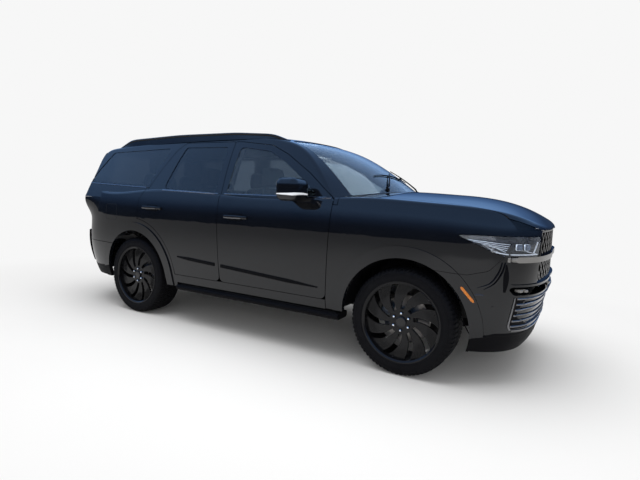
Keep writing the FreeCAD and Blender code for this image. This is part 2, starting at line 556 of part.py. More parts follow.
# The outer form of the right half, and the solids that more than one piece is cut with.
far_left = -2 * half_length
everything = box(far_left, 2 * half_length, -2 * half_width, 0, 0, 2 * S.roof_height)
plain_lower = lower_body(0).common(everything)
smooth_lower = plain_lower.common(under_deck(0))
shoulder = [e for e in smooth_lower.Edges if e.BoundBox.ZMin > S.belt_height / 2 and e.BoundBox.YMin < -half_width / 2]
smooth_lower = smooth_lower.makeFillet(S.shoulder_rounding, shoulder)
inner_lower = lower_body(S.outer_skin).common(everything).common(under_deck(S.outer_skin))
flared = lower_body(-S.flare_out).common(everything)
upper = half_glasshouse(0, S.roof_rounding)
upper_shell = upper.cut(half_glasshouse(S.shell_wall))
right_wells = []
lips = []
for axle in (front_axle, rear_axle):
    lips.append(flared.common(drum(axle, axle_height, S.arch_radius + S.arch_lip, -half_width - S.overrun, -S.door_inner_face)))
    right_wells.append(drum(axle, axle_height, S.arch_radius, -half_width - S.overrun, -S.well_side))
front_well, rear_well = right_wells
front_lower = smooth_lower.common(share_box(FRONT_BLOCK_SHARES)).fuse(lips[0])
middle_lower = smooth_lower.common(share_box(MIDDLE_BLOCK_SHARES))
rear_lower = smooth_lower.common(share_box(REAR_BLOCK_SHARES)).fuse(lips[1])
front_door_wire = side_outline(FRONT_DOOR_SHARES, S.door_radius)
rear_door_wire = side_outline(REAR_DOOR_SHARES, S.door_radius)
hood_wire = plan_outline(HOOD_SHARES, S.door_radius)
gate_wire = front_outline(symmetric(GATE_SHARES), S.door_radius)
screen_wire = plan_outline(SCREEN_SHARES, S.door_radius)
lamp_wire = side_outline(LAMP_SIDE_SHARES, S.door_radius)
lamp_front_wire = front_outline(LAMP_FRONT_SHARES, S.door_radius)
tail_lamp_wire = front_outline(TAIL_LAMP_SHARES, S.window_radius)
inner_face = -S.door_inner_face
NAMED = {}


def lamp_space(gap):
    """What the right headlamp fills, with a gap round it."""
    side = right_side(grown(lamp_wire, gap) if gap else lamp_wire)
    return side.common(from_front(grown(lamp_front_wire, gap) if gap else lamp_front_wire, px(LAMP_BACK_SHARE)))


def door_opening(wire, gap):
    """What a door fills, with the panel gap round it."""
    solid = right_side(grown(wire, gap) if gap else wire)
    if wire is rear_door_wire:
        solid = solid.cut(drum(rear_axle, axle_height, S.rear_door_arch - gap, -half_width - S.overrun, 0))
    return solid


def slanted_edge(name):
    """What keeps a door's rear edge leaning forward on the inside, so that it swings clear of what is behind it."""
    depth = half_width - S.door_inner_face + S.overrun
    lean = V(S.door_edge_slant * depth, depth, 0)
    place = V(0, py(EDGE_START_SHARE), 0)
    face = Part.Face(side_outline(EDGE_SHARES[name]))
    face.translate(place)
    solid = face.extrude(lean)
    outside = face.extrude(V(0, -S.overrun, 0))
    if name == "rear":
        arch = Part.Face(Part.Wire([Part.makeCircle(S.rear_door_arch, V(rear_axle, 0, axle_height), V(0, 1, 0))]))
        arch.translate(place)
        solid = solid.cut(arch.extrude(lean))
    return solid.fuse(outside)


def window_opening(shares, gap=0):
    wire = side_outline(shares, S.window_radius)
    return right_side(grown(wire, -gap) if gap else wire)


def side_pane(opening_shares):
    """A window's glass: a curved sheet with the seal's gap all round."""
    face = glass_side_face(S.glass_setback).common(window_opening(opening_shares, S.seal_gap))
    return face.extrude(V(0, S.glass_thickness, 0))


def make_doors():
    """Doors as thick as the whole wall below the belt, with a frame round the window above it."""
    frame_zone = box(-half_length, half_length, -2 * half_width, 0, S.belt_height - S.frame_wall, 2 * S.roof_height)
    wall_zone = box(-half_length, half_length, -2 * half_width, inner_face, 0, 2 * S.roof_height)
    lean = V(S.door_edge_slant * S.frame_wall, S.frame_wall, 0)
    for name, wire, window in (
        ("front", front_door_wire, FRONT_WINDOW_SHARES),
        ("rear", rear_door_wire, REAR_WINDOW_SHARES),
    ):
        solid = door_opening(wire, 0)
        frame = glass_side_face(0).common(solid.common(frame_zone)).extrude(lean).common(solid)
        panel = middle_lower.common(solid.common(slanted_edge(name)).common(wall_zone))
        door = panel.fuse(frame).cut(window_opening(window))
        NAMED["door_" + name] = door
        glass = side_pane(window)
        for side, place in (("right", lambda shape: shape), ("left", mirrored)):
            keep("door_%s_%s" % (name, side), place(door))
            keep("door_glass_%s_%s" % (name, side), place(glass))


def make_wheel_tub():
    """The rear wheelhouse between the quarter panel and the floor."""
    outer = drum(rear_axle, axle_height, S.arch_radius + S.liner_wall, -half_width, -S.well_side + S.liner_wall)
    inner = drum(rear_axle, axle_height, S.arch_radius, -half_width - S.overrun, 0)
    ring = outer.common(share_box(TUB_SHARES)).cut(inner)
    return ring.fuse(outer.common(share_box(TUB_WALL_SHARES)))


def make_body_sides():
    """Sill, pillars, cant rail and rear quarter of one side, cut clear of the doors, the roof and the tailgate."""
    doors = [door_opening(front_door_wire, S.panel_gap), door_opening(rear_door_wire, S.panel_gap)]
    gate = from_rear(grown(gate_wire, S.gate_gap), px(GATE_REACH_SHARE))
    quarter_wire = side_outline(QUARTER_SHARES, S.window_radius)
    quarter = rear_lower.common(right_side(quarter_wire, S.door_inner_face))
    corner = rear_lower.common(share_box(TAIL_CORNER_SHARES)).cut(inner_lower)
    quarter = quarter.fuse(corner).cut(Part.makeCompound([doors[1], gate]))
    lamp_gap = from_rear(grown(tail_lamp_wire, S.lens_gap), px(LAMP_FRONT_LIMIT_SHARE))
    tail_skin = rear_lower.common(share_box(TAIL_CORNER_SHARES)).cut(lower_body(S.lens_depth))
    quarter = quarter.fuse(make_wheel_tub()).cut(rear_well).cut(tail_skin.common(lamp_gap))
    lamp = tail_skin.common(from_rear(tail_lamp_wire, px(LAMP_FRONT_LIMIT_SHARE))).cut(gate)
    keep("tail_lamps", both_sides(lamp))
    sill = middle_lower.common(share_box(SILL_SHARES)).fuse(share_box(SILL_INNER_SHARES))
    high = upper_shell.common(right_side(side_outline(CANT_SHARES), S.roof_half_width))
    high = high.cut(Part.makeCompound(doors + [gate, from_above(screen_wire, S.belt_height)]))
    high = high.cut(window_opening(QUARTER_WINDOW_SHARES))
    foot = high.common(share_box(PILLAR_FOOT_SHARES)).cut(under_deck(0))
    high = high.cut(share_box(PILLAR_CUT_SHARES))
    corner = smooth_lower.common(share_box(CORNER_SHARES))
    upper_post = glass_side_face(S.frame_wall + S.panel_gap).extrude(V(0, S.pillar_depth, 0))
    upper_post = upper_post.common(share_box(UPPER_POST_SHARES))
    hinge_post = share_box(HINGE_POST_SHARES)
    hinges = [share_box(shares).cut(door_opening(front_door_wire, S.seal_gap)) for shares in FRONT_HINGE_SHARES]
    hinges = hinges + [share_box(shares) for shares in REAR_HINGE_SHARES]
    side = quarter.fuse([sill, high, foot, corner, upper_post, share_box(MIDDLE_POST_SHARES), hinge_post] + hinges)
    keep("body_side_right", side)
    keep("body_side_left", mirrored(side))
    keep("quarter_glass", both_sides(side_pane(QUARTER_WINDOW_SHARES)))


def make_roof():
    """The roof skin between the cant rails, with its headers over the windshield and the tailgate."""
    roof = roof_face(0).extrude(V(0, 0, -S.pillar_depth))
    roof = roof.common(share_box(ROOF_SHARES)).cut(from_above(screen_wire, S.belt_height))
    hinge = share_box(GATE_HINGE_SHARES)
    keep("roof_panel", roof.fuse([hinge, mirrored(hinge)]))
    screen = roof_face(S.glass_setback).common(from_above(grown(screen_wire, -S.seal_gap), S.belt_height))
    screen = screen.extrude(V(0, 0, -S.glass_thickness)).cut(under_deck(0))
    keep("windshield", screen)


def make_gate():
    """Tailgate from the roof to the bumper, a curved slab, its edges thin so that they swing clear of the pillars."""
    gate_space = from_rear(gate_wire, px(GATE_REACH_SHARE))
    window = from_rear(front_outline(symmetric(GATE_WINDOW_SHARES), S.window_radius), px(GATE_REACH_SHARE))
    top = upper.common(share_box(GATE_TOP_SHARES)).common(gate_space)
    top = top.cut(top.translated(V(S.gate_depth, 0, -S.gate_drop)))
    low = rear_lower.common(share_box(GATE_LOW_SHARES)).common(gate_space)
    skin = low.cut(lower_body(S.lens_depth))
    half = top.fuse(low.cut(lower_body(S.gate_depth))).cut(window)
    lamp_wire = front_outline(GATE_LAMP_SHARES, S.window_radius)
    half = half.cut(skin.common(from_rear(grown(lamp_wire, S.lens_gap), px(GATE_REACH_SHARE))))
    lamp = skin.common(from_rear(lamp_wire, px(GATE_REACH_SHARE)))
    margin = gate_space.cut(from_rear(grown(gate_wire, -S.gate_edge_inset), px(GATE_REACH_SHARE)))
    half = half.cut(margin.common(upper.translated(V(S.gate_edge_wall, 0, 0))))
    half = half.cut(margin.common(lower_body(S.gate_edge_wall)))
    keep("tailgate", half.fuse(mirrored(half)))
    keep("tailgate_lamp", lamp.fuse(mirrored(lamp)))
    pane = roof_face(S.glass_setback).common(from_rear(
        grown(front_outline(symmetric(GATE_WINDOW_SHARES), S.window_radius), -S.seal_gap), px(GATE_REACH_SHARE)))
    keep("tailgate_glass", pane.extrude(V(S.glass_thickness, 0, 0)))


def make_front():
    """Hood, fenders, bumper and headlamps."""
    block = share_box(HOOD_BLOCK_SHARES)
    hood = smooth_lower.common(from_above(hood_wire, 0).common(block)).cut(under_deck(S.lid_wall))
    keep("hood", hood.fuse(mirrored(hood)))
    hood_gap = from_above(grown(hood_wire, S.panel_gap), block.BoundBox.ZMin - S.panel_gap)
    shell = front_lower.cut(inner_lower)
    fender_wire = side_outline(FENDER_SHARES, S.door_radius)
    removed = [hood_gap, lamp_space(S.lens_gap), front_well]
    fender = shell.common(right_side(fender_wire, py(FENDER_INNER_SHARE)))
    fender = fender.cut(removed + [share_box(shares) for shares in FENDER_CUT_SHARES])
    fender = max(fender.Solids, key=lambda solid: solid.Volume)
    keep("fenders", both_sides(fender))
    fender_space = right_side(grown(fender_wire, S.lens_gap), py(FENDER_INNER_SHARE) - S.lens_gap)
    bumper = shell.common(share_box(FRONT_BUMPER_SHARES)).cut(removed + [fender_space])
    for shares in (GRILLE_OPENING_SHARES, INTAKE_SHARES, SLOT_SHARES):
        bumper = bumper.cut(from_front(front_outline(symmetric(shares), S.window_radius), px(LAMP_BACK_SHARE)))
    keep("front_bumper", bumper.fuse(mirrored(bumper)))
    lamp = front_lower.common(lamp_space(0)).cut([lower_body(S.lens_depth), hood_gap])
    keep("headlamps", both_sides(lamp))


def diamonds(low, high, reach, back, front):
    """Square holes standing on a corner, in rows across the grille."""
    step = S.mesh_pitch / math.sqrt(2)
    side = (S.mesh_pitch - S.mesh_wire) / math.sqrt(2)
    holes = []
    for row in range(int((high - low) / step) + 2):
        for column in range(-int(reach / step) - 1, int(reach / step) + 2):
            if (row + column) % 2:
                continue
            y, z = column * step, low + row * step
            corners = [V(back, y - side, z), V(back, y, z - side), V(back, y + side, z), V(back, y, z + side)]
            holes.append(Part.Face(Part.makePolygon(corners + corners[:1])).extrude(V(front - back, 0, 0)))
    return Part.makeCompound(holes)


def make_grilles():
    """The upper grille's curved mesh in its frame, with the bar and side panels, and the slats of the lower one."""
    nose = px(NOSE_FACE_SHARE)
    back = px(NOSE_BLOCK_SHARES[0])
    block = share_box(NOSE_BLOCK_SHARES)
    curve = S.grille_curve
    sheet_front = Part.makeCylinder(curve, S.belt_height, V(nose - curve, 0, 0))
    sheet_back = Part.makeCylinder(curve - S.mesh_depth, S.belt_height, V(nose - curve, 0, 0))
    opening = front_outline(symmetric(GRILLE_SHARES), S.window_radius)
    inside = from_front(opening, back)
    hole_space = from_front(grown(opening, -S.bar_height / 3), back)
    size = inside.BoundBox
    holes = diamonds(size.ZMin, size.ZMax, size.YMax, back, half_length + S.overrun).common(hole_space)
    mesh = sheet_front.common(inside).cut([sheet_back, holes])
    skin = block.common(lower_body(0)).cut(lower_body(S.outer_skin))
    bar = skin.common(from_front(front_outline(symmetric(LIGHT_BAR_SHARES), S.bar_height / 2), back))
    skin = block.common(lower_body(S.mesh_setback)).cut(lower_body(S.outer_skin))
    panel = skin.common(from_front(front_outline(SIDE_PANEL_SHARES, S.window_radius), back))
    keep("upper_grille", mesh.cut(bar).fuse([bar, panel, mirrored(panel)]))
    opening = grown(front_outline(symmetric(INTAKE_SHARES), S.window_radius), -S.seal_gap)
    inside = from_front(opening, back)
    pattern = [inside.cut(from_front(grown(opening, -S.slat_height), back))]
    size = inside.BoundBox
    pitch = size.ZLength / S.slat_count
    for i in range(int(S.slat_count)):
        z = size.ZMin + (i + 0.5) * pitch
        slat = Part.makeBox(half_length - back, 2 * half_width, S.slat_height, V(back, -half_width, z - S.slat_height / 2))
        pattern.append(slat)
    pattern = pattern[0].fuse(pattern[1:]).common(inside)
    skin = block.common(lower_body(S.mesh_setback)).cut(lower_body(S.slat_depth))
    keep("lower_grille", skin.common(pattern))


def make_front_structure(frame):
    """Wheelhouse liners, aprons, strut towers, radiator, bumper beam and the brackets that carry the front panels."""
    ring = drum(front_axle, axle_height, S.arch_radius + S.liner_wall, -half_width, -S.apron_place)
    ring = ring.cut(drum(front_axle, axle_height, S.arch_radius, -half_width - S.overrun, 0))
    pieces = [ring.common(share_box(LINER_ZONE_SHARES)).common(inner_lower)]
    for shares in (APRON_SHARES, TOWER_SHARES, SUPPORT_SHARES, RADIATOR_SHARES, CRASH_BOX_SHARES):
        pieces.append(share_box(shares))
    for shares in (BEAM_SHARES, SLOT_BACK_SHARES, BUMPER_BRACKET_SHARES):
        pieces.append(share_box(shares).common(inner_lower))
    pieces.append(share_box(LAMP_BRACKET_SHARES).common(lower_body(S.lens_depth)))
    half = pieces[0].fuse(pieces[1:])
    keep("front_structure", half.fuse(mirrored(half)).cut(frame))


def make_rear_bumper():
    """Rear bumper: flush with the sides, and standing out behind the tailgate."""
    region = right_side(side_outline(REAR_BUMPER_SHARES, S.window_radius))
    step = smooth_lower.common(share_box(BUMPER_STEP_SHARES)).translated(V(-S.bumper_step, 0, 0))
    bumper = rear_lower.fuse(step).common(region).cut([inner_lower, rear_well, share_box(HITCH_GAP_SHARES)])
    keep("rear_bumper", bumper.fuse(mirrored(bumper)))


def make_frame():
    """Ladder frame: two rails that kick up over the rear axle, crossmembers, brackets and hitch; with the fuel tank."""
    rail_y = S.rail_spacing / 2
    wire = side_outline(RAIL_SHARES, S.rail_height)
    rail = prism(wire, V(0, -rail_y - S.rail_width / 2, 0), V(0, -rail_y + S.rail_width / 2, 0))
    pieces = [rail, mirrored(rail)]
    for x_share, z_share in CROSS_SHARES:
        start = V(px(x_share), -rail_y, pz(z_share))
        pieces.append(bar(start, start + V(0, S.rail_spacing, 0), S.cross_diameter))
    brackets = [share_box(shares) for shares in FRAME_BRACKET_SHARES]
    brackets.append(share_box(REAR_BRACKET_SHARES).common(inner_lower))
    for bracket in brackets:
        pieces = pieces + [bracket, mirrored(bracket)]
    hitch = share_box(HITCH_SHARES).cut(share_box(HITCH_HOLE_SHARES))
    frame = pieces[0].fuse(pieces[1:])
    frame = frame.fuse(hitch).cut(share_box(HITCH_HOLE_SHARES))
    keep("chassis_frame", frame)
    tank = share_box(TANK_SHARES)
    upright = [e for e in tank.Edges if e.BoundBox.ZLength > S.cushion_radius]
    keep("fuel_tank", tank.makeFillet(S.cushion_radius, upright))
    return frame


def make_engine():
    """The engine as one plain block, with its gearbox, sump and propeller shaft."""
    back = px(ENGINE_BACK_SHARE)
    half = S.engine_width / 2
    block = box(back, back + S.engine_length, -half, half, S.engine_bottom, S.engine_bottom + S.engine_height)
    gearbox = share_box(GEARBOX_SHARES)
    shaft = bar(V(px(GEARBOX_SHARES[0]), 0, pz(SHAFT_SHARE)), V(rear_axle, 0, pz(SHAFT_SHARE)), S.shaft_diameter)
    shaft = shaft.cut(drum(rear_axle, pz(SHAFT_SHARE), S.differential_diameter / 2, -half, half))
    keep("engine", block.fuse([gearbox, share_box(SUMP_SHARES), shaft]))


def make_exhaust():
    points = [V(px(x), py(y), pz(z)) for x, y, z in EXHAUST_SHARES]
    pipe = bent_tube(points, S.exhaust_diameter)
    silencer = bar(*[V(px(x), py(y), pz(z)) for x, y, z in SILENCER_SHARES], S.silencer_diameter)
    keep("exhaust", pipe.fuse(silencer))


def arm(inner, outer, width, thickness):
    """A flat arm from one point out to another, rounded at the ends."""
    length = (outer - inner).Length
    flat = Part.makeBox(width, length, thickness, V(-width / 2, 0, -thickness / 2))
    ends = [Part.makeCylinder(width / 2, thickness, V(0, place, -thickness / 2)) for place in (0, length)]
    solid = flat.fuse(ends)
    solid.Placement = FreeCAD.Placement(inner, FreeCAD.Rotation(V(0, 1, 0), outer - inner))
    return solid


def wishbones(axle):
    """The lower and upper arms of the right wheel, from their pivots to the king pin, and the spring's seat."""
    pin_y = wheel_y - S.king_pin_inset
    rail_face = S.rail_spacing / 2 + S.rail_width / 2
    seat_y = py(DAMPER_SHARE)
    arms = [box(axle - S.damper_diameter, axle + S.damper_diameter, seat_y - S.damper_diameter / 2,
                seat_y + S.damper_diameter / 2, S.king_pin_low - S.arm_thickness / 2,
                S.king_pin_low + S.arm_thickness / 2)]
    for spread, height, width in (
        (S.low_arm_spread, S.king_pin_low, S.arm_width),
        (S.high_arm_spread, S.king_pin_high, S.arm_width * UPPER_ARM_SHARE),
    ):
        for way in (-1, 1):
            inner = V(axle + way * spread, -rail_face - width / 4, height)
            arms.append(arm(inner, V(axle, -pin_y, height), width, S.arm_thickness))
    return arms


def make_suspensions(frame):
    """Wishbones, dampers, steering rack, differential with its carrier, and the rear half shafts."""
    low = S.king_pin_low + S.arm_thickness / 2
    for name, axle in (("front", front_axle), ("rear", rear_axle)):
        pieces = wishbones(axle)
        damper_y = py(DAMPER_SHARE)
        pieces.append(bar(V(axle, damper_y, low), V(axle, damper_y, pz(DAMPER_TOP_SHARES[name])), S.damper_diameter))
        if name == "front":
            start = V(px(RACK_SHARES[0]), -S.rail_spacing / 2, pz(RACK_SHARES[1]))
            pieces.append(bar(start, V(start.x, 0, start.z), S.axle_tube_diameter))
        else:
            pieces = pieces + [share_box(shares) for shares in CARRIER_SHARES]
            pieces.append(drum(axle, pz(SHAFT_SHARE), S.differential_diameter / 2, -S.differential_width / 2, 0))
            knuckle_face = wheel_y - S.disc_place - S.disc_thickness / 2 - S.bearing_clearance
            pieces.append(drum(axle, axle_height, S.axle_tube_diameter / 2, -knuckle_face + S.knuckle_depth, 0))
            pieces.append(make_knuckle_shape(wheel_placement(axle, -1)))
        half = pieces[0].fuse(pieces[1:])
        keep(name + "_suspension", half.fuse(mirrored(half)).cut(frame))


WHEELS = (
    ("front_right", front_axle, -1), ("front_left", front_axle, 1),
    ("rear_right", rear_axle, -1), ("rear_left", rear_axle, 1),
)


def wheel_placement(axle, side):
    turn = FreeCAD.Rotation(V(0, 0, 1), 0 if side < 0 else 180)
    return FreeCAD.Placement(V(axle, side * wheel_y, axle_height), turn)


def make_tyre(name, axle, side):
    """A low tyre: tread with round grooves, bulged side walls, and beads that seat between the rim's flanges."""
    body = doc.addObject("PartDesign::Body", "tyre_" + name)
    body.Label = "tyre_" + name
    sketch = body.newObject("Sketcher::SketchObject", "tyre_section_" + name)
    plane = [item for item in body.Origin.OriginFeatures if item.Role == "XY_Plane"][0]
    sketch.AttachmentSupport = [(plane, "")]
    sketch.MapMode = "FlatFace"
    outer = S.tyre_diameter / 2
    bead = S.rim_flange_diameter / 2 - S.rim_lip + S.bead_clearance
    half = S.tyre_width / 2
    wall = [(bead + share * (outer - bead), width * half) for share, width in TYRE_SHARES]
    grooves = []
    for place in GROOVE_SHARES:
        for way, depth in ((1, 0), (1, S.tread_groove), (-1, S.tread_groove), (-1, 0)):
            grooves.append((outer - depth, place * half + way * S.groove_width / 2))
    points = wall + grooves + [(radius, -width) for radius, width in reversed(wall)]
    for start, end in zip(points, points[1:] + points[:1]):
        sketch.addGeometry(Part.LineSegment(V(start[0], start[1], 0), V(end[0], end[1], 0)), False)
    ring = body.newObject("PartDesign::Revolution", "tyre_ring_" + name)
    ring.Profile = sketch
    ring.ReferenceAxis = (sketch, ["V_Axis"])
    ring.Angle = 360
    body.Placement = wheel_placement(axle, side)
    PARTS.append(body)


def blade_outline(turn):
    """One swept blade, from the hub to the rim, its edges arcs; turn is its place round the wheel in degrees."""
    inner = S.hub_diameter / 2 * HUB_GRIP_SHARE
    reach = S.rim_flange_diameter / 2 - S.rim_lip - S.rim_wall / 2 - inner
    points = []
    for radius_share, angle in BLADE_SHARES:
        radius = inner + radius_share * reach
        radians = math.radians(angle + turn)
        points.append(V(radius * math.cos(radians), 0, radius * math.sin(radians)))
    edges = [Part.Arc(*points[0:3]), Part.Arc(*points[2:5]), Part.Arc(*points[4:7]), Part.LineSegment(points[6], points[0])]
    return Part.Wire([edge.toShape() for edge in edges])


def make_wheel_shape():
    """A turbine wheel: rim barrel, hub with lug holes, and swept blades that carry the rim; with its brake disc."""
    rim_outer = S.rim_flange_diameter / 2
    well = rim_outer - S.rim_lip
    half = S.rim_width / 2
    wall = S.rim_wall
    section = [
        (rim_outer, -half - wall), (rim_outer, -half), (well, -half), (well, half), (rim_outer, half),
        (rim_outer, half + wall), (well - wall, half + wall), (well - wall, -half), (rim_outer - wall, -half - wall),
    ]
    rim = Part.Face(Part.makePolygon([V(r, y, 0) for r, y in section + section[:1]])).revolve(V(0, 0, 0), V(0, 1, 0), 360)
    face = -S.hub_offset - S.hub_thickness / 2
    hub = Part.makeCylinder(S.hub_diameter / 2, S.hub_thickness, V(0, face, 0), V(0, 1, 0))
    cap = Part.makeCylinder(S.cap_diameter / 2, S.cap_thickness, V(0, face - S.cap_thickness, 0), V(0, 1, 0))
    blades = []
    for i in range(int(S.blade_count)):
        turn = i * 360 / S.blade_count
        outline = Part.Face(blade_outline(turn))
        outline.translate(V(0, face, 0))
        blades.append(outline.extrude(V(0, S.blade_thickness, 0)))
    wheel = rim.fuse([hub, cap] + blades)
    holes = []
    for i in range(int(S.lug_count)):
        angle = math.radians((i + 0.5) * 360 / S.lug_count)
        place = V(S.stud_circle / 2 * math.cos(angle), face, S.stud_circle / 2 * math.sin(angle))
        holes.append(Part.makeCylinder(S.stud_hole / 2, S.hub_thickness / 2, place, V(0, 1, 0)))
    wheel = wheel.cut(Part.makeCompound(holes))
    disc = Part.makeCylinder(S.disc_diameter / 2, S.disc_thickness, V(0, S.disc_place - S.disc_thickness / 2, 0), V(0, 1, 0))
    hat = Part.makeCylinder(S.hub_diameter / 2, S.hub_offset + S.disc_place, V(0, -S.hub_offset, 0), V(0, 1, 0))
    return wheel.fuse([disc, hat])


def make_knuckle_shape(placement):
    """The upright that carries a wheel: bearing with its stub, and the post between the arms."""
    face = S.disc_place + S.disc_thickness / 2 + S.bearing_clearance
    low = S.king_pin_low - axle_height + S.arm_thickness / 2 + S.seal_gap
    high = S.king_pin_high - axle_height - S.arm_thickness / 2 - S.seal_gap
    width = S.bearing_diameter
    post = box(-width / 2, width / 2, face, face + S.knuckle_depth, low, high)
    bearing = Part.makeCylinder(width * BEARING_SHARE, S.knuckle_depth, V(0, face, 0), V(0, 1, 0))
    stub_start = face - S.bearing_clearance + S.seal_gap
    stub = Part.makeCylinder(width * STUB_SHARE, S.bearing_clearance, V(0, stub_start, 0), V(0, 1, 0))
    upright = post.fuse([bearing, stub])
    upright.Placement = placement
    return upright


def make_wheels():
    wheel = make_wheel_shape()
    for name, axle, side in WHEELS:
        make_tyre(name, axle, side)
        copy = wheel.copy()
        copy.Placement = wheel_placement(axle, side)
        keep("wheel_" + name, copy)
        if axle == front_axle:
            keep("knuckle_" + name, make_knuckle_shape(wheel_placement(axle, side)))


def make_cabin():
    """Floor, bulkhead with its cowl, and dashboard with console and steering wheel."""
    cabin_half = S.door_inner_face - S.panel_gap - S.pillar_depth
    floor = prism(side_outline(FLOOR_SHARES), V(0, -cabin_half, 0), V(0, cabin_half, 0))
    tub = drum(rear_axle, axle_height, S.arch_radius + S.liner_wall, -half_width, -S.well_side + S.liner_wall)
    keep("floor_pan", floor.cut([tub, mirrored(tub)]).common(lower_body(S.outer_skin)))
    inner = S.door_inner_face - S.panel_gap
    bottom = S.floor_top - S.floor_thickness
    wall = box(S.bulkhead_place, S.bulkhead_place + S.bulkhead_thickness, -inner, inner, bottom, pz(BULKHEAD_TOP_SHARE))
    wall = wall.common(under_deck(S.lid_wall / 2))
    cowl_space = share_box(COWL_SHARES).cut([from_above(grown(hood_wire, S.panel_gap), 0),
                                             mirrored(from_above(grown(hood_wire, S.panel_gap), 0))])
    cowl = deck_face(0).common(cowl_space).extrude(V(0, 0, -S.lid_wall))
    hinge = share_box(HOOD_HINGE_SHARES).common(under_deck(S.lid_wall + S.seal_gap))
    keep("bulkhead", wall.fuse([cowl, hinge, mirrored(hinge)]))
    dash = prism(side_outline(DASH_SHARES, S.cushion_radius), V(0, -cabin_half, 0), V(0, cabin_half, 0))
    half = S.console_width / 2
    console = prism(side_outline(CONSOLE_SHARES, S.cushion_radius), V(0, -half, 0), V(0, half, 0))
    centre = V(px(STEERING_SHARES[0]), py(STEERING_SHARES[1]), pz(STEERING_SHARES[2]))
    tilt = V(math.cos(math.radians(STEERING_TILT)), 0, -math.sin(math.radians(STEERING_TILT)))
    rim = Part.makeTorus(S.steering_wheel_diameter / 2, S.steering_rim / 2, centre, tilt)
    reach = V(0, S.steering_wheel_diameter / 2, 0)
    column = bar(centre, centre + tilt * S.column_length, S.steering_rim * 2)
    spoke = bar(centre - reach, centre + reach, S.steering_rim)
    keep("dashboard", dash.fuse([console, rim, column, spoke]))


def seat(x, y, rise, width):
    """One seat: cushion, leaning back and headrest."""
    half = width / 2
    base = prism(side_outline(SEAT_SHARES, S.cushion_radius), V(0, -half, 0), V(0, half, 0))
    back = prism(side_outline(SEAT_BACK_SHARES, S.cushion_radius), V(0, -half, 0), V(0, half, 0))
    rest_half = S.headrest_width / 2
    rest = prism(side_outline(HEADREST_SHARES, S.cushion_radius), V(0, -rest_half, 0), V(0, rest_half, 0))
    return base.fuse([back, rest]).translated(V(x, y, rise))


def make_seats():
    seats = []
    for x_share, y_share, rise_share in SEAT_ROW_SHARES:
        seats.append(seat(px(x_share), py(y_share), pz(rise_share), S.seat_width))
        seats.append(mirrored(seats[-1]))
    keep("seats", Part.makeCompound(seats))


def make_fittings():
    """Roof rails, running boards and mirrors."""
    points = [V(px(x), py(y), pz(z)) for x, y, z in ROOF_RAIL_SHARES]
    rail = bent_tube(points, S.roof_rail_height).cut(upper)
    keep("roof_rails", both_sides(rail))
    ends = [px(place) for place in STEP_ENDS_SHARES]
    step = prism(front_outline(STEP_SHARES, S.step_height / 2), V(ends[0], 0, 0), V(ends[1], 0, 0))
    brackets = [share_box(shares) for shares in STEP_BRACKET_SHARES]
    keep("running_boards", both_sides(step.fuse(brackets)))
    head = share_box(MIRROR_SHARES)
    head = head.makeFillet(S.mirror_rounding, head.Edges)
    mirror = head.fuse(share_box(MIRROR_STALK_SHARES)).cut(NAMED["door_front"])
    keep("mirror_right", mirror)
    keep("mirror_left", mirrored(mirror))


make_doors()
make_body_sides()
make_roof()
make_gate()
make_front()
make_grilles()
ladder = make_frame()
make_front_structure(ladder)
make_rear_bumper()
make_engine()
make_exhaust()
make_suspensions(ladder)
make_wheels()
make_cabin()
make_seats()
make_fittings()

doc.recompute()
for item in doc.Objects:
    if "Invalid" in item.State or "Error" in item.State:
        raise RuntimeError("%s did not rebuild" % item.Label)
os.makedirs("parts", exist_ok=True)
for node in PARTS:
    if node.Shape.isNull() or not node.Shape.isValid():
        raise RuntimeError("%s is not a valid shape" % node.Label)
    node.Shape.exportStep("parts/%s.step" % node.Label)
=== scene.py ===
"""Looks of the gloss black long family car: paint, glass, tyres, wheels, lamps, grilles, trim and cabin."""
import json
import math

import bpy
import bmesh
from mathutils import Matrix, Vector
from mathutils.bvhtree import BVHTree

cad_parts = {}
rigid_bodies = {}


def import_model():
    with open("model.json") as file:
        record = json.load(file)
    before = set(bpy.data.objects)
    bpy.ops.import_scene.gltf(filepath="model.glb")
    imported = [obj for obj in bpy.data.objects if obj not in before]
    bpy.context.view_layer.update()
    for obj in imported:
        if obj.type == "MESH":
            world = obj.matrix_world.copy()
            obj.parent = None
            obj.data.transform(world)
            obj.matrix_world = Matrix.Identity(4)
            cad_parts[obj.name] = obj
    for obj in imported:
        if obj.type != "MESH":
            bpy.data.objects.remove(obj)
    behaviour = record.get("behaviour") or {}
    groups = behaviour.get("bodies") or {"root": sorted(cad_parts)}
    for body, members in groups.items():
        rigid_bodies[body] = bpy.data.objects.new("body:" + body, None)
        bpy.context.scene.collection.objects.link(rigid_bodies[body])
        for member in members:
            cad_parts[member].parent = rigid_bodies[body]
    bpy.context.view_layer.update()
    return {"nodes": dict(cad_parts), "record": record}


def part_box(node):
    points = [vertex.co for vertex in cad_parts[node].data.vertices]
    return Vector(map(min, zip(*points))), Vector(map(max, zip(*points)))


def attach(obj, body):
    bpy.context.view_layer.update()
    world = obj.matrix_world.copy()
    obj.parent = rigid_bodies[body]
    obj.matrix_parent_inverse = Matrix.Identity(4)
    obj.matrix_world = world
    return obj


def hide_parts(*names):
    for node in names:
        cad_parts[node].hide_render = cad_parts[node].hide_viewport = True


for leftover in list(bpy.data.objects):
    bpy.data.objects.remove(leftover)
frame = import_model()
NODES = frame["nodes"]
SIDES = {"right": -1, "left": 1}


# Shader nodes: an input is set to a value, or fed from another node's socket.

def feed(tree, socket, value):
    if isinstance(value, bpy.types.NodeSocket):
        tree.links.new(value, socket)
    else:
        socket.default_value = value


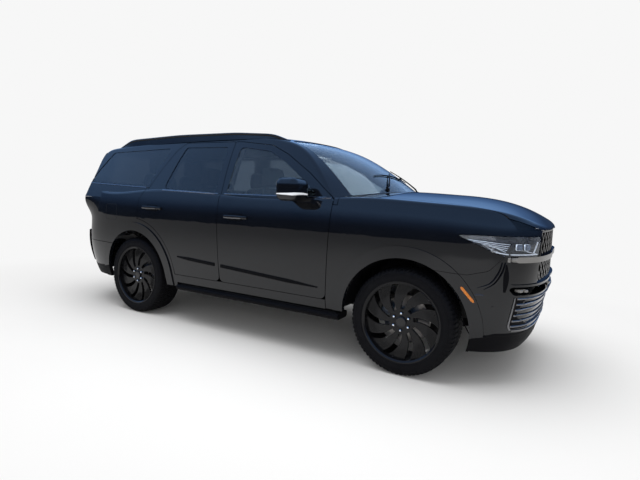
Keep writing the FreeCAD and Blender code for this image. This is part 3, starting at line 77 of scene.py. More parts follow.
def add_node(tree, kind, inputs=(), **settings):
    """A shader node with its settings made first, then its inputs, which go by name or number."""
    node = tree.nodes.new("ShaderNode" + kind)
    for label, value in settings.items():
        setattr(node, label, value)
    for label, value in dict(inputs).items():
        feed(tree, node.inputs[label], value)
    return node


def maths(tree, operation, first, second):
    return add_node(tree, "Math", {0: first, 1: second}, operation=operation).outputs[0]


def mixed(tree, share, first, second):
    """The colour between two at a share."""
    mix = add_node(tree, "Mix", {"Factor": share, "A": first, "B": second}, data_type="RGBA")
    return mix.outputs["Result"]


def object_place(tree):
    return add_node(tree, "TexCoord").outputs["Object"]


def node_group(name, result, **inputs):
    """A group with float inputs and one float output: the group, the inputs and the output."""
    group = bpy.data.node_groups.new(name, "ShaderNodeTree")
    for label, value in inputs.items():
        socket = group.interface.new_socket(label, in_out="INPUT", socket_type="NodeSocketFloat")
        socket.default_value = value
    group.interface.new_socket(result, in_out="OUTPUT", socket_type="NodeSocketFloat")
    return group, group.nodes.new("NodeGroupInput").outputs, group.nodes.new("NodeGroupOutput").inputs[result]


def mottle_group():
    """Soft blotches over the surface, from 0 to 1."""
    group, given, mask = node_group("Mottle", "Mask", Scale=8.0, Contrast=0.5)
    noise = add_node(group, "TexNoise", {"Vector": object_place(group), "Scale": given["Scale"], "Detail": 4})
    low = maths(group, "MULTIPLY", given["Contrast"], 0.5)
    high = maths(group, "SUBTRACT", 1.0, low)
    spread = add_node(group, "MapRange", {"Value": noise.outputs["Fac"], "From Min": low, "From Max": high})
    feed(group, mask, spread.outputs["Result"])
    return group


def grain_group():
    """Small cells like moulded grain or leather: a height for a Bump node."""
    group, given, height = node_group("Cell grain", "Height", Scale=900.0, Softness=0.4)
    cells = add_node(group, "TexVoronoi", {"Vector": object_place(group), "Scale": given["Scale"],
                                           "Smoothness": given["Softness"]}, feature="SMOOTH_F1")
    feed(group, height, cells.outputs["Distance"])
    return group


def road_dust_group():
    """Dust that settles low on the car: 1 near the ground, 0 above Top, broken up by noise."""
    group, given, mask = node_group("Road dust", "Mask", Top=0.7, Amount=0.3)
    place = object_place(group)
    parts = add_node(group, "SeparateXYZ", {"Vector": place})
    fade = add_node(group, "MapRange", {"Value": parts.outputs["Z"], "From Min": 0.15, "From Max": given["Top"],
                                        "To Min": 1.0, "To Max": 0.0})
    noise = add_node(group, "TexNoise", {"Vector": place, "Scale": 14, "Detail": 6})
    broken = maths(group, "MULTIPLY", fade.outputs["Result"], noise.outputs["Fac"])
    feed(group, mask, maths(group, "MULTIPLY", broken, given["Amount"]))
    return group


MOTTLE = mottle_group()
GRAIN = grain_group()
ROAD_DUST = road_dust_group()
DUST_COLOUR = (0.13, 0.115, 0.10, 1)
BACKDROP = (0.93, 0.93, 0.93, 1)


def finish(name, colour, roughness, second=None, rough_spread=0.05, mottle=6.0, grain=0, grain_depth=0.0,
           dust=0.0, dust_top=0.7, emission=0.0, **sockets):
    """A material: two colours and a roughness range spread by blotches, moulded grain, and dust low on the car."""
    material = bpy.data.materials.new(name)
    material.use_nodes = True
    tree = material.node_tree
    shader = tree.nodes["Principled BSDF"]
    for label, value in sockets.items():
        shader.inputs[label.replace("_", " ").title().replace("Ior", "IOR")].default_value = value
    blotch = add_node(tree, "Group", {"Scale": mottle}, node_tree=MOTTLE).outputs["Mask"]
    shade = mixed(tree, blotch, (*colour, 1), (*(second or [value * 1.25 for value in colour]), 1))
    rough = add_node(tree, "MapRange", {"Value": blotch, "To Min": max(roughness - rough_spread, 0.0),
                                        "To Max": min(roughness + rough_spread, 1.0)}).outputs["Result"]
    if dust:
        dirt = add_node(tree, "Group", {"Amount": dust, "Top": dust_top}, node_tree=ROAD_DUST).outputs["Mask"]
        shade = mixed(tree, dirt, shade, DUST_COLOUR)
        rough = maths(tree, "ADD", rough, dirt)
    feed(tree, shader.inputs["Base Color"], shade)
    feed(tree, shader.inputs["Roughness"], rough)
    if grain:
        cells = add_node(tree, "Group", {"Scale": grain}, node_tree=GRAIN).outputs["Height"]
        bump = add_node(tree, "Bump", {"Strength": 1.0, "Distance": grain_depth, "Height": cells})
        feed(tree, shader.inputs["Normal"], bump.outputs["Normal"])
    if emission:
        shader.inputs["Emission Color"].default_value = (*colour, 1)
        shader.inputs["Emission Strength"].default_value = emission
    return material


PAINT = finish("gloss black paint", (0.0030, 0.0034, 0.005), 0.04, (0.004, 0.0046, 0.0065), 0.015, mottle=2.0,
               dust=0.05, dust_top=0.55, ior=1.45)
GLOSS_BLACK = finish("piano black trim", (0.004, 0.004, 0.005), 0.07, rough_spread=0.03, dust=0.04, ior=1.45)
TRIM_BLACK = finish("black moulded plastic", (0.003, 0.003, 0.004), 0.5, (0.005, 0.005, 0.006), grain=700,
                    grain_depth=0.0004, dust=0.012, ior=1.4, specular_ior_level=0.06)
STEP_RUBBER = finish("step rubber", (0.006, 0.006, 0.006), 0.7, (0.010, 0.010, 0.010), grain=500,
                     grain_depth=0.0005, dust=0.02, specular_ior_level=0.08)
CLEAR_GLASS = finish("lightly tinted glass", (0.34, 0.41, 0.46), 0.0, (0.36, 0.43, 0.48), 0.0,
                     transmission_weight=1.0, ior=1.45)
DARK_GLASS = finish("privacy glass", (0.085, 0.095, 0.105), 0.0, (0.09, 0.10, 0.11), 0.0,
                    transmission_weight=1.0, ior=1.45)
LENS = finish("clear lamp lens", (0.84, 0.90, 0.98), 0.0, (0.87, 0.92, 0.99), 0.0, transmission_weight=1.0,
              ior=1.4)
RED_LENS = finish("red lamp lens", (0.30, 0.008, 0.010), 0.08, (0.36, 0.012, 0.014), 0.02, ior=1.5,
                  transmission_weight=0.35)
TAIL_GLOW = finish("red light guide", (0.55, 0.02, 0.02), 0.2, (0.62, 0.03, 0.03), ior=1.5)
AMBER = finish("amber marker lens", (0.50, 0.135, 0.012), 0.14, (0.58, 0.18, 0.015), 0.04, ior=1.5)
CHROME = finish("bright chrome", (0.75, 0.76, 0.78), 0.08, (0.82, 0.83, 0.85), 0.03, metallic=1.0)
SATIN = finish("satin dark chrome", (0.16, 0.16, 0.17), 0.28, (0.2, 0.2, 0.21), 0.06, metallic=1.0)
SILVER = finish("lamp reflector", (0.62, 0.64, 0.67), 0.16, (0.7, 0.72, 0.75), metallic=1.0)
# Glows faintly: the headlamps' light guides, and the mirror's bright blade, where the glow is a painted highlight.
GLOWING_WHITE = finish("glowing white", (0.78, 0.80, 0.84), 0.3, (0.84, 0.86, 0.9), ior=1.45, emission=0.12)
LIGHT_BAR = finish("grey light bar lens", (0.19, 0.185, 0.18), 0.14, (0.22, 0.215, 0.21), 0.04, ior=1.5)
LAMP_BLACK = finish("lamp housing", (0.010, 0.014, 0.026), 0.25, (0.015, 0.020, 0.036), 0.08, ior=1.45)
BLUE_LENS = finish("projector lens", (0.07, 0.10, 0.16), 0.06, (0.10, 0.14, 0.22), 0.02, ior=1.6)
WHEEL_BLACK = finish("gloss black wheel", (0.004, 0.004, 0.005), 0.14, (0.006, 0.006, 0.007), dust=0.02, ior=1.45,
                     specular_ior_level=0.25)
DISC_STEEL = finish("brake disc steel", (0.20, 0.19, 0.18), 0.38, (0.28, 0.26, 0.25), 0.1, mottle=30, metallic=1.0)
RUBBER = finish("tyre rubber", (0.004, 0.004, 0.005), 0.58, (0.007, 0.007, 0.008), 0.1, mottle=20, grain=1200,
                grain_depth=0.0002, dust=0.012, dust_top=0.9, ior=1.4, specular_ior_level=0.09)
SEAL_RUBBER = finish("seal rubber", (0.010, 0.010, 0.011), 0.6, (0.015, 0.015, 0.016), 0.1, specular_ior_level=0.2)
FRAME_STEEL = finish("coated frame steel", (0.014, 0.014, 0.014), 0.5, (0.022, 0.021, 0.020), 0.12, mottle=12,
                     dust=0.15)
CAST_ALLOY = finish("cast alloy", (0.26, 0.26, 0.27), 0.5, (0.33, 0.33, 0.34), 0.12, mottle=18, metallic=0.9,
                    grain=600, grain_depth=0.0004)
EXHAUST_STEEL = finish("exhaust steel", (0.34, 0.32, 0.29), 0.35, (0.42, 0.36, 0.28), 0.12, mottle=5, metallic=1.0)
CABIN = finish("soft dashboard plastic", (0.030, 0.029, 0.030), 0.55, (0.038, 0.037, 0.037), grain=800,
               grain_depth=0.0004)
CARPET = finish("cabin carpet", (0.018, 0.018, 0.019), 0.95, (0.028, 0.027, 0.027), mottle=60, grain=400,
                grain_depth=0.002)
LEATHER = finish("black leather", (0.026, 0.025, 0.025), 0.42, (0.036, 0.034, 0.033), 0.08, mottle=10, grain=420,
                 grain_depth=0.0006)
HEADLINER = finish("light grey headliner", (0.42, 0.41, 0.40), 0.9, (0.46, 0.45, 0.44), mottle=50, grain=700,
                   grain_depth=0.0008)
SCREEN = finish("display glass", (0.008, 0.010, 0.014), 0.06, (0.010, 0.013, 0.018), 0.02, ior=1.5)
MIRROR_GLASS = finish("mirror glass", (0.72, 0.75, 0.78), 0.02, (0.74, 0.77, 0.80), 0.01, metallic=1.0)
PLATE = finish("blank plate", (0.55, 0.56, 0.57), 0.4, (0.6, 0.61, 0.62))

# Each slot's finishes: the first is the CAD nodes' own.
SLOT_FINISHES = {
    "paint": [PAINT], "gloss_black": [GLOSS_BLACK, SATIN, SCREEN],
    "trim_black": [TRIM_BLACK, STEP_RUBBER, SEAL_RUBBER, LAMP_BLACK, PLATE],
    "glass_clear": [CLEAR_GLASS], "glass_dark": [DARK_GLASS, MIRROR_GLASS],
    "lens": [LENS, SILVER, GLOWING_WHITE, BLUE_LENS, AMBER, LIGHT_BAR], "lens_red": [RED_LENS, TAIL_GLOW],
    "wheel_black": [WHEEL_BLACK], "tyre": [RUBBER], "frame_steel": [FRAME_STEEL],
    "cast_alloy": [CAST_ALLOY, CHROME], "exhaust_steel": [EXHAUST_STEEL],
    "cabin_plastic": [CABIN, CARPET, HEADLINER], "seat_leather": [LEATHER],
}
for part in frame["record"]["subparts"]:
    materials = NODES[part["node"]].data.materials
    materials.clear()
    materials.append(SLOT_FINISHES[part["material_slot"]][0])


def second_finish(node, material, wanted):
    """Gives the faces of a CAD node for which wanted(centre, normal) is true another finish."""
    mesh = NODES[node].data
    mesh.materials.append(material)
    for face in mesh.polygons:
        if wanted(face.center, face.normal):
            face.material_index = len(mesh.materials) - 1


# Mesh helpers.

def piece_from(name, bm, material, body="body", sharp=40):
    """Turns a bmesh into a smooth-shaded piece that rides on a body, with its material."""
    bmesh.ops.recalc_face_normals(bm, faces=bm.faces)
    mesh = bpy.data.meshes.new(name)
    bm.to_mesh(mesh)
    bm.free()
    mesh.materials.append(material)
    for face in mesh.polygons:
        face.use_smooth = True
    mesh.set_sharp_from_angle(angle=math.radians(sharp))
    piece = bpy.data.objects.new(name, mesh)
    bpy.context.scene.collection.objects.link(piece)
    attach(piece, body)
    return piece


def skin_rings(bm, rings, closed=False):
    """Joins rings of equally many points into a tube."""
    made = [[bm.verts.new(point) for point in ring] for ring in rings]
    pairs = list(zip(made, made[1:] + made[:1])) if closed else list(zip(made, made[1:]))
    for first, second in pairs:
        for i in range(len(first)):
            j = (i + 1) % len(first)
            bm.faces.new((first[i], first[j], second[j], second[i]))
    if not closed:
        bm.faces.new(made[0])
        bm.faces.new(made[-1])


def add_block(bm, size, matrix, bevel=0.004, segments=2):
    """A box with rounded edges, its middle at the matrix's place."""
    verts = bmesh.ops.create_cube(bm, size=1.0)["verts"]
    bmesh.ops.scale(bm, vec=size, verts=verts)
    edges = list(dict.fromkeys(edge for vert in verts for edge in vert.link_edges))
    rounded = bmesh.ops.bevel(bm, geom=edges, offset=min(bevel, min(size) * 0.45), segments=segments, profile=0.5,
                              affect="EDGES")
    verts = list({vert for face in rounded["faces"] for vert in face.verts} | {v for v in verts if v.is_valid})
    linked = set(verts)
    for vert in list(linked):
        for edge in vert.link_edges:
            linked.add(edge.other_vert(vert))
    bmesh.ops.transform(bm, matrix=matrix, verts=list(linked))


SAME_PLACE = 1e-6


def add_lathe(bm, profile, matrix, steps=48, closed=False):
    """Turns a profile of (radius, height) about the matrix's Z axis."""
    rings = []
    for step in range(steps):
        angle = 2 * math.pi * step / steps
        rings.append([matrix @ Vector((r * math.cos(angle), r * math.sin(angle), h)) for r, h in profile])
    made = [[bm.verts.new(point) for point in ring] for ring in rings]
    count = len(profile)
    for first, second in zip(made, made[1:] + made[:1]):
        for i in range(count if closed else count - 1):
            j = (i + 1) % count
            bm.faces.new((first[i], second[i], second[j], first[j]))
    if not closed:
        for end in (0, -1):
            if profile[end][0] > SAME_PLACE:
                bm.faces.new([ring[end] for ring in made])
    bmesh.ops.remove_doubles(bm, verts=bm.verts, dist=SAME_PLACE)


def smooth_path(points, count):
    """Points evenly along a smooth curve through the given ones."""
    points = [Vector(point) for point in points]
    full = [2 * points[0] - points[1]] + points + [2 * points[-1] - points[-2]]
    dense = []
    for i in range(1, len(full) - 2):
        a, b, c, d = full[i - 1:i + 3]
        for step in range(20):
            t = step / 20
            dense.append(0.5 * (2 * b + (c - a) * t + (2 * a - 5 * b + 4 * c - d) * t * t
                                + (3 * b - a - 3 * c + d) * t ** 3))
    dense.append(points[-1])
    lengths = [0.0]
    for a, b in zip(dense, dense[1:]):
        lengths.append(lengths[-1] + (b - a).length)
    result, at = [], 0
    for i in range(count):
        want = lengths[-1] * i / (count - 1)
        while at < len(lengths) - 2 and lengths[at + 1] < want:
            at += 1
        share = (want - lengths[at]) / max(lengths[at + 1] - lengths[at], 1e-9)
        result.append(dense[at].lerp(dense[at + 1], min(max(share, 0), 1)))
    return result


def value_at(values, i):
    """The value at a point of a path, where values is one number or one per point."""
    return values[i] if isinstance(values, (list, tuple)) else values


def ramp(first, last, count):
    return [first + (last - first) * k / (count - 1) for k in range(count)]


def swelling(least, growth, count, gaps):
    """Values that grow towards the middle of a path."""
    return [least + growth * math.sin(math.pi * (k + 1) / gaps) for k in range(count)]


def add_tube(bm, points, radius, sides=10):
    """A round tube along points, its radius one value or one per point."""
    rings = []
    up = Vector((0, 0, 1))
    turns = [2 * math.pi * k / sides for k in range(sides)]
    for i, point in enumerate(points):
        ahead = (points[min(i + 1, len(points) - 1)] - points[max(i - 1, 0)]).normalized()
        if abs(ahead.dot(up)) > 0.95:
            up = Vector((1, 0, 0))
        across = ahead.cross(up).normalized()
        above = across.cross(ahead)
        size = value_at(radius, i)
        rings.append([point + size * (math.cos(turn) * across + math.sin(turn) * above) for turn in turns])
    skin_rings(bm, rings)


def tree_of(*names):
    """A search tree over the faces of the named nodes."""
    verts, faces = [], []
    for name in names:
        mesh = NODES[name].data
        start = len(verts)
        verts.extend(vert.co.copy() for vert in mesh.vertices)
        faces.extend([start + i for i in face.vertices] for face in mesh.polygons)
    return BVHTree.FromPolygons(verts, faces)


def caster(names, make_start, direction):
    """A function from two coordinates to the point and outward normal where a ray meets the named nodes."""
    tree = tree_of(*names)
    direction = Vector(direction)

    def project(u, v):
        start = Vector(make_start(u, v))
        point, normal, _, _ = tree.ray_cast(start, direction)
        if point is None:
            point, normal, _, _ = tree.find_nearest(start + direction * (start.length - 0.5))
        return point, (-normal if normal.dot(direction) > 0 else normal)
    return project


# Planes clear of the car, from which the rays start.
BEYOND_ENDS, BEYOND_SIDE, BEYOND_TOP = 3.4, 1.6, 2.8


def from_side(sign, *names):
    return caster(names, lambda x, z: (x, sign * BEYOND_SIDE, z), (0, -sign, 0))


def from_front(*names):
    return caster(names, lambda y, z: (BEYOND_ENDS, y, z), (-1, 0, 0))


def from_rear(*names):
    return caster(names, lambda y, z: (-BEYOND_ENDS, y, z), (1, 0, 0))


def from_top(*names):
    return caster(names, lambda x, y: (x, y, BEYOND_TOP), (0, 0, -1))


def across_path(path, i, closed=False):
    """The direction across a path at one of its points."""
    count = len(path)
    after = path[(i + 1) % count] if closed else path[min(i + 1, count - 1)]
    before = path[i - 1] if closed else path[max(i - 1, 0)]
    along = Vector((after[0] - before[0], after[1] - before[1])).normalized()
    return Vector((-along.y, along.x))


STRIP_SECTION = [(-1.0, -0.3), (-1.0, 0.35), (-0.8, 0.9), (-0.45, 1.0),
                 (0.45, 1.0), (0.8, 0.9), (1.0, 0.35), (1.0, -0.3)]
RIB_SECTION = [(-1, 0), (-0.7, 1), (0.7, 1), (1, 0), (0.6, -0.8), (-0.6, -0.8)]
STRIP_SINK = 0.002


def add_strip(bm, project, path, width, height, closed=False):
    """A raised strip that lies on the skin along a path; width and height may be one value or one per point."""
    rings = []
    for i, (u, v) in enumerate(path):
        across = across_path(path, i, closed)
        wide, high = value_at(width, i), value_at(height, i)
        ring = []
        for share, rise in STRIP_SECTION:
            point, normal = project(u + across.x * share * wide / 2, v + across.y * share * wide / 2)
            ring.append(point + normal * (rise * high if rise > 0 else -STRIP_SINK))
        rings.append(ring)
    skin_rings(bm, rings, closed=closed)


def add_inset_rib(bm, project, path, width, height, depth):
    """A rounded rib just behind the skin, along a path."""
    rings = []
    for i, (u, v) in enumerate(path):
        across = across_path(path, i)
        ring = []
        for share, rise in RIB_SECTION:
            point, normal = project(u + across.x * share * width / 2, v + across.y * share * width / 2)
            ring.append(point - normal * (depth - rise * height))
        rings.append(ring)
    skin_rings(bm, rings)


def strips_piece(name, project, paths, width, height, material, body="body", closed=False):
    """A piece made of raised strips of one width and height."""
    bm = bmesh.new()
    for path in paths:
        add_strip(bm, project, path, width, height, closed)
    return piece_from(name, bm, material, body)


def tubes_piece(name, tubes, material, body="body", sharp=40):
    """A piece made of tubes, each given by its rings."""
    bm = bmesh.new()
    for rings in tubes:
        skin_rings(bm, rings)
    return piece_from(name, bm, material, body, sharp)


def patch_piece(name, project, patches, height, across, along, material, body="body", sink=0.003, sharp=60):
    """A piece made of slightly raised plates on the skin."""
    bm = bmesh.new()
    for corners in patches:
        add_patch(bm, project, corners, height, across, along, sink)
    return piece_from(name, bm, material, body, sharp)


def line2(start, end, parts, bow=(0.0, 0.0)):
    """A line in the plane cut into equal parts, pushed out by bow at its middle."""
    return [tuple(a + (b - a) * k / parts + c * math.sin(math.pi * k / parts) for a, b, c in zip(start, end, bow))
            for k in range(parts + 1)]


def level2(half, height, parts):
    """A level line from one side of the car to the other."""
    return [(half * (2 * k / parts - 1), height) for k in range(parts + 1)]


def path2(points, count):
    return [(p.x, p.y) for p in smooth_path([Vector((u, v, 0)) for u, v in points], count)]


def outline2(corners, radius, steps=6):
    """A closed outline with rounded corners, as points in the plane."""
    result = []
    total = len(corners)
    for i in range(total):
        before, corner, after = Vector(corners[i - 1]), Vector(corners[i]), Vector(corners[(i + 1) % total])
        a = (before - corner).normalized()
        b = (after - corner).normalized()
        cut = min(radius, (before - corner).length * 0.45, (after - corner).length * 0.45)
        start, end = corner + a * cut, corner + b * cut
        for step in range(steps + 1):
            t = step / steps
            result.append(((1 - t) ** 2 * start + 2 * t * (1 - t) * corner + t * t * end)[:])
    return result


def dense_outline(points, gap):
    """The same closed outline with points no further apart than gap."""
    result = []
    for a, b in zip(points, points[1:] + points[:1]):
        a, b = Vector(a), Vector(b)
        parts = max(1, int((b - a).length / gap))
        result.extend((a.lerp(b, k / parts))[:] for k in range(parts))
    return result


def rect2(u0, u1, v0, v1):
    """The corners of a rectangle in the plane, its v0 side first."""
    return [(u0, v0), (u1, v0), (u1, v1), (u0, v1)]


def add_patch(bm, project, corners, height, across, along, sink=0.003):
    """A slightly raised plate on the skin, spanned between four corners."""
    a, b, c, d = [Vector(corner) for corner in corners]
    top, low = [], []
    for i in range(along + 1):
        s = i / along
        upper_row, lower_row = [], []
        for j in range(across + 1):
            t = j / across
            place = a.lerp(b, t).lerp(d.lerp(c, t), s)
            point, normal = project(place.x, place.y)
            edge = min(s, 1 - s, t, 1 - t)
            upper_row.append(bm.verts.new(point + normal * height * min(1.0, 0.4 + edge * 8)))
            lower_row.append(bm.verts.new(point - normal * sink))
        top.append(upper_row)
        low.append(lower_row)
    for i in range(along):
        for j in range(across):
            bm.faces.new((top[i][j], top[i][j + 1], top[i + 1][j + 1], top[i + 1][j]))
            bm.faces.new((low[i][j], low[i + 1][j], low[i + 1][j + 1], low[i][j + 1]))
    for j in range(across):
        for i in (0, along):
            bm.faces.new((top[i][j], top[i][j + 1], low[i][j + 1], low[i][j]))
    for i in range(along):
        for j in (0, across):
            bm.faces.new((top[i][j], top[i + 1][j], low[i + 1][j], low[i][j]))


def facing(point, normal):
    """The place and turn of something that stands on the skin."""
    return Matrix.Translation(point) @ normal.to_track_quat("Z", "Y").to_matrix().to_4x4()


def placed(place, degrees=0, axis="Y"):
    """The place and turn of something that is tilted about one axis."""
    return Matrix.Translation(place) @ Matrix.Rotation(math.radians(degrees), 4, axis)


SENSOR_PROFILE = [(0.0105, -0.002), (0.0105, 0.0012), (0.0090, 0.0020), (0.0, 0.0022)]


def sensors_piece(name, project, places):
    """Round parking sensors that lie almost flush in the bumper."""
    bm = bmesh.new()
    for place in places:
        add_lathe(bm, SENSOR_PROFILE, facing(*project(*place)), steps=24)
    piece_from(name, bm, GLOSS_BLACK)


# Tyres: a smooth carcass with tread blocks, shoulder lugs and ribbed side walls.

WHEELS = ["front_right", "front_left", "rear_right", "rear_left"]
CARCASS = [
    (0.306, -0.126), (0.312, -0.137), (0.318, -0.1385), (0.326, -0.1395), (0.350, -0.1405), (0.372, -0.1400),
    (0.390, -0.1375), (0.402, -0.1310), (0.4085, -0.1200), (0.4110, -0.1050), (0.4112, 0.0),
]
BLOCK_ROWS = [(-0.0395, 0.0180), (0.0, 0.0165), (0.0395, 0.0180), (-0.0800, 0.0190), (0.0800, 0.0190)]
TREAD_PITCHES = 74
ROW_SHIFT = 0.37
SIDE_RIBS = 150
WHEEL_PLANE = 0.85
TREAD_TOP = 0.4185
TREAD_LOW = 0.4090


def wheel_centre(name):
    low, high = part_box("wheel_" + name)
    return (low + high) / 2


def wheel_matrix(name):
    """The wheel's own frame: its outer face towards -Y."""
    centre = wheel_centre(name)
    spin = 0 if centre.y < 0 else math.pi
    middle = Vector((centre.x, math.copysign(WHEEL_PLANE, centre.y), centre.z))
    return Matrix.Translation(middle) @ Matrix.Rotation(spin, 4, "Z")


def add_tread_block(bm, angle, pitch, middle, half, slant):
    """One block of the tread: its top follows the tyre, its front and rear edges slant across it."""
    corners = []
    for radius, grow in ((TREAD_LOW, 1.0), (TREAD_TOP - 0.0012, 0.97), (TREAD_TOP, 0.90)):
        for along, across in ((-1, -1), (1, -1), (1, 1), (-1, 1)):
            turn = angle + (along * 0.5 * grow + slant * across) * pitch
            drop = 0.0009 * (across * half + middle) ** 2 / 0.01
            r = radius - drop
            corners.append(bm.verts.new((r * math.cos(turn), middle + across * half * grow, r * math.sin(turn))))
    for level in (0, 4):
        for i in range(4):
            j = (i + 1) % 4
            bm.faces.new((corners[level + i], corners[level + j], corners[level + 4 + j], corners[level + 4 + i]))
    bm.faces.new(corners[8:12])


def add_shoulder_lug(bm, angle, pitch, side, long):
    """A lug that runs from the tread's edge down over the shoulder."""
    line = [(0.4165, 0.101), (0.4155, 0.118), (0.4080, 0.1320), (0.3960, 0.1392)]
    if long:
        line = line + [(0.3840, 0.1415)]
    rings = []
    for i, (radius, place) in enumerate(line):
        width = pitch * (0.60 if i < 2 else 0.52 - 0.05 * i)
        for depth in (0.0, 0.0045):
            rings.append([(radius - depth, place - depth * (i > 1), angle - width / 2),
                          (radius - depth, place - depth * (i > 1), angle + width / 2)])
    made = []
    for ring in rings:
        made.append([bm.verts.new((r * math.cos(turn), side * y, r * math.sin(turn))) for r, y, turn in ring])
    for i in range(len(line) - 1):
        top_a, low_a, top_b, low_b = made[2 * i], made[2 * i + 1], made[2 * i + 2], made[2 * i + 3]
        bm.faces.new((top_a[0], top_a[1], top_b[1], top_b[0]))
        bm.faces.new((top_a[0], top_b[0], low_b[0], low_a[0]))
        bm.faces.new((top_a[1], low_a[1], low_b[1], top_b[1]))
    bm.faces.new((made[0][0], made[1][0], made[1][1], made[0][1]))
    bm.faces.new((made[-2][0], made[-2][1], made[-1][1], made[-1][0]))


def wheel_piece(kind, name, bm, material, carrier=None, sharp=40):
    """A piece made in the wheel's own frame and moved to its place on the car."""
    bmesh.ops.transform(bm, matrix=wheel_matrix(name), verts=bm.verts)
    return piece_from(kind + "_" + name, bm, material, carrier or "wheel_" + name, sharp)


def build_tyre(name):
    bm = bmesh.new()
    profile = CARCASS + [(radius, -place) for radius, place in reversed(CARCASS[:-1])]
    turned = Matrix.Rotation(-math.pi / 2, 4, "X")
    add_lathe(bm, profile + [(0.302, 0.118), (0.302, -0.118)], turned, steps=132, closed=True)
    pitch = 2 * math.pi / TREAD_PITCHES
    for i in range(TREAD_PITCHES):
        for row, (middle, half) in enumerate(BLOCK_ROWS):
            slant = 0.16 if middle < 0 else (-0.16 if middle > 0 else 0.1)
            add_tread_block(bm, (i + ROW_SHIFT * row) * pitch, pitch * 0.80, middle, half, slant)
        for side in (-1, 1):
            add_shoulder_lug(bm, (i + 0.2) * pitch, pitch, side, i % 2 == 0)
    for side in (-1, 1):
        for radius, height in ((0.3285, 0.0016), (0.3750, 0.0012)):
            ring = [(radius - 0.0020, side * 0.1390), (radius - 0.0012, side * (0.1405 + height)),
                    (radius + 0.0012, side * (0.1405 + height)), (radius + 0.0020, side * 0.1390)]
            add_lathe(bm, ring, turned, steps=120, closed=True)
        for i in range(SIDE_RIBS):
            angle = 2 * math.pi * i / SIDE_RIBS
            place = Matrix.Rotation(angle, 4, "Y") @ Matrix.Translation((0.3625, side * 0.1404, 0))
            add_block(bm, (0.014, 0.0016, 0.0032), place, bevel=0.0005, segments=1)
    tyre = wheel_piece("tread", name, bm, RUBBER, sharp=35)
    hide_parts("tyre_" + name)


# Wheels: fluted blade ends, bright lug nuts, blank caps, valve stems, steel discs and calipers.

BLADES = 10
FLUTES = 8
FACE = -0.101
BLADE_FOOT, BLADE_REACH = 0.0882, 0.2133
BLADE_EDGES = ((0.0, 8, -10), (0.5, 1, -22), (1.0, -12, -38))
LUG_CIRCLE = 0.0675
NUT_PROFILE = ((0.0098, -0.020), (0.0102, 0.000), (0.0102, 0.010), (0.0088, 0.0155), (0.0055, 0.0180))
CAP_PROFILE = [(0.0405, 0.004), (0.0405, 0.0118), (0.0385, 0.0135), (0.0340, 0.0140), (0.0330, 0.0128),
               (0.0150, 0.0138), (0.0, 0.0140)]
VALVE_PROFILE = [(0.0055, -0.02), (0.0055, 0.008), (0.0042, 0.010), (0.0042, 0.020), (0.0036, 0.022), (0.0, 0.022)]
OUTWARD = Matrix.Rotation(math.pi / 2, 4, "X")
DISC_RADIUS = 0.192
CALIPER_LEAN = 76
CALIPER_STEPS = 11


def blade_edges(share):
    """The two edges' angles, in degrees, of a blade at a share of the way from the hub to the rim."""
    inner, outer = BLADE_EDGES[:2] if share < 0.5 else BLADE_EDGES[1:]
    return [a + (b - a) * (share - inner[0]) * 2 for a, b in zip(inner[1:], outer[1:])]


def add_flutes(bm):
    for blade in range(BLADES):
        turn = blade * 360 / BLADES
        for flute in range(FLUTES):
            place = (flute + 0.9) / (FLUTES + 0.8)
            start = 0.50 + 0.10 * abs(place - 0.35)
            rings = []
            for step in range(9):
                share = start + (0.985 - start) * step / 8
                leading, trailing = blade_edges(share)
                angle = math.radians(leading + (trailing - leading) * place + turn)
                radius = BLADE_FOOT + share * BLADE_REACH
                gap = math.radians(abs(trailing - leading)) * radius / (FLUTES + 1)
                wide = gap * 0.30 * min(1.0, 0.25 + step / 3)
                rise = Vector((0, 0.0042 * min(1.0, step / 3 + 0.12) + 0.001, 0))
                side = Vector((-math.sin(angle), 0, math.cos(angle))) * wide
                base = Vector((math.cos(angle) * radius, FACE + 0.001, math.sin(angle) * radius))
                rings.append([base - side, base - side * 0.45 - rise, base + side * 0.45 - rise, base + side])
            skin_rings(bm, rings)


def add_lug_nuts(bm):
    for i in range(6):
        angle = math.radians((i + 0.5) * 60)
        matrix = Matrix.Translation((LUG_CIRCLE * math.cos(angle), FACE, LUG_CIRCLE * math.sin(angle))) @ OUTWARD
        turns = [math.radians(60 * k + 12 * i) for k in range(6)]
        skin_rings(bm, [[matrix @ Vector((radius * math.cos(turn), radius * math.sin(turn), height))
                         for turn in turns] for radius, height in NUT_PROFILE])


def add_caliper(bm, ahead):
    """A caliper over the disc's edge, on its front or rear side."""
    rings = []
    for step in range(CALIPER_STEPS):
        angle = math.radians(90 - CALIPER_LEAN * ahead + (step - 5) * 5.2)
        out = Vector((math.cos(angle), 0, math.sin(angle)))
        slim = 1.0 if 0 < step < CALIPER_STEPS - 1 else 0.86
        outer = 0.98 + 0.02 * slim
        rings.append([out * r + Vector((0, y, 0)) for r, y in (
            (0.1935, 0.0035), (0.126 + 0.02 * (1 - slim), 0.0035), (0.130, -0.020 * slim), (0.160, -0.034 * slim),
            (0.200, -0.034 * slim), (0.217 * outer, -0.016), (0.219 * outer, 0.062), (0.212, 0.078 * slim),
            (0.150, 0.078 * slim), (0.140, 0.049), (0.1935, 0.049))])
    skin_rings(bm, rings)


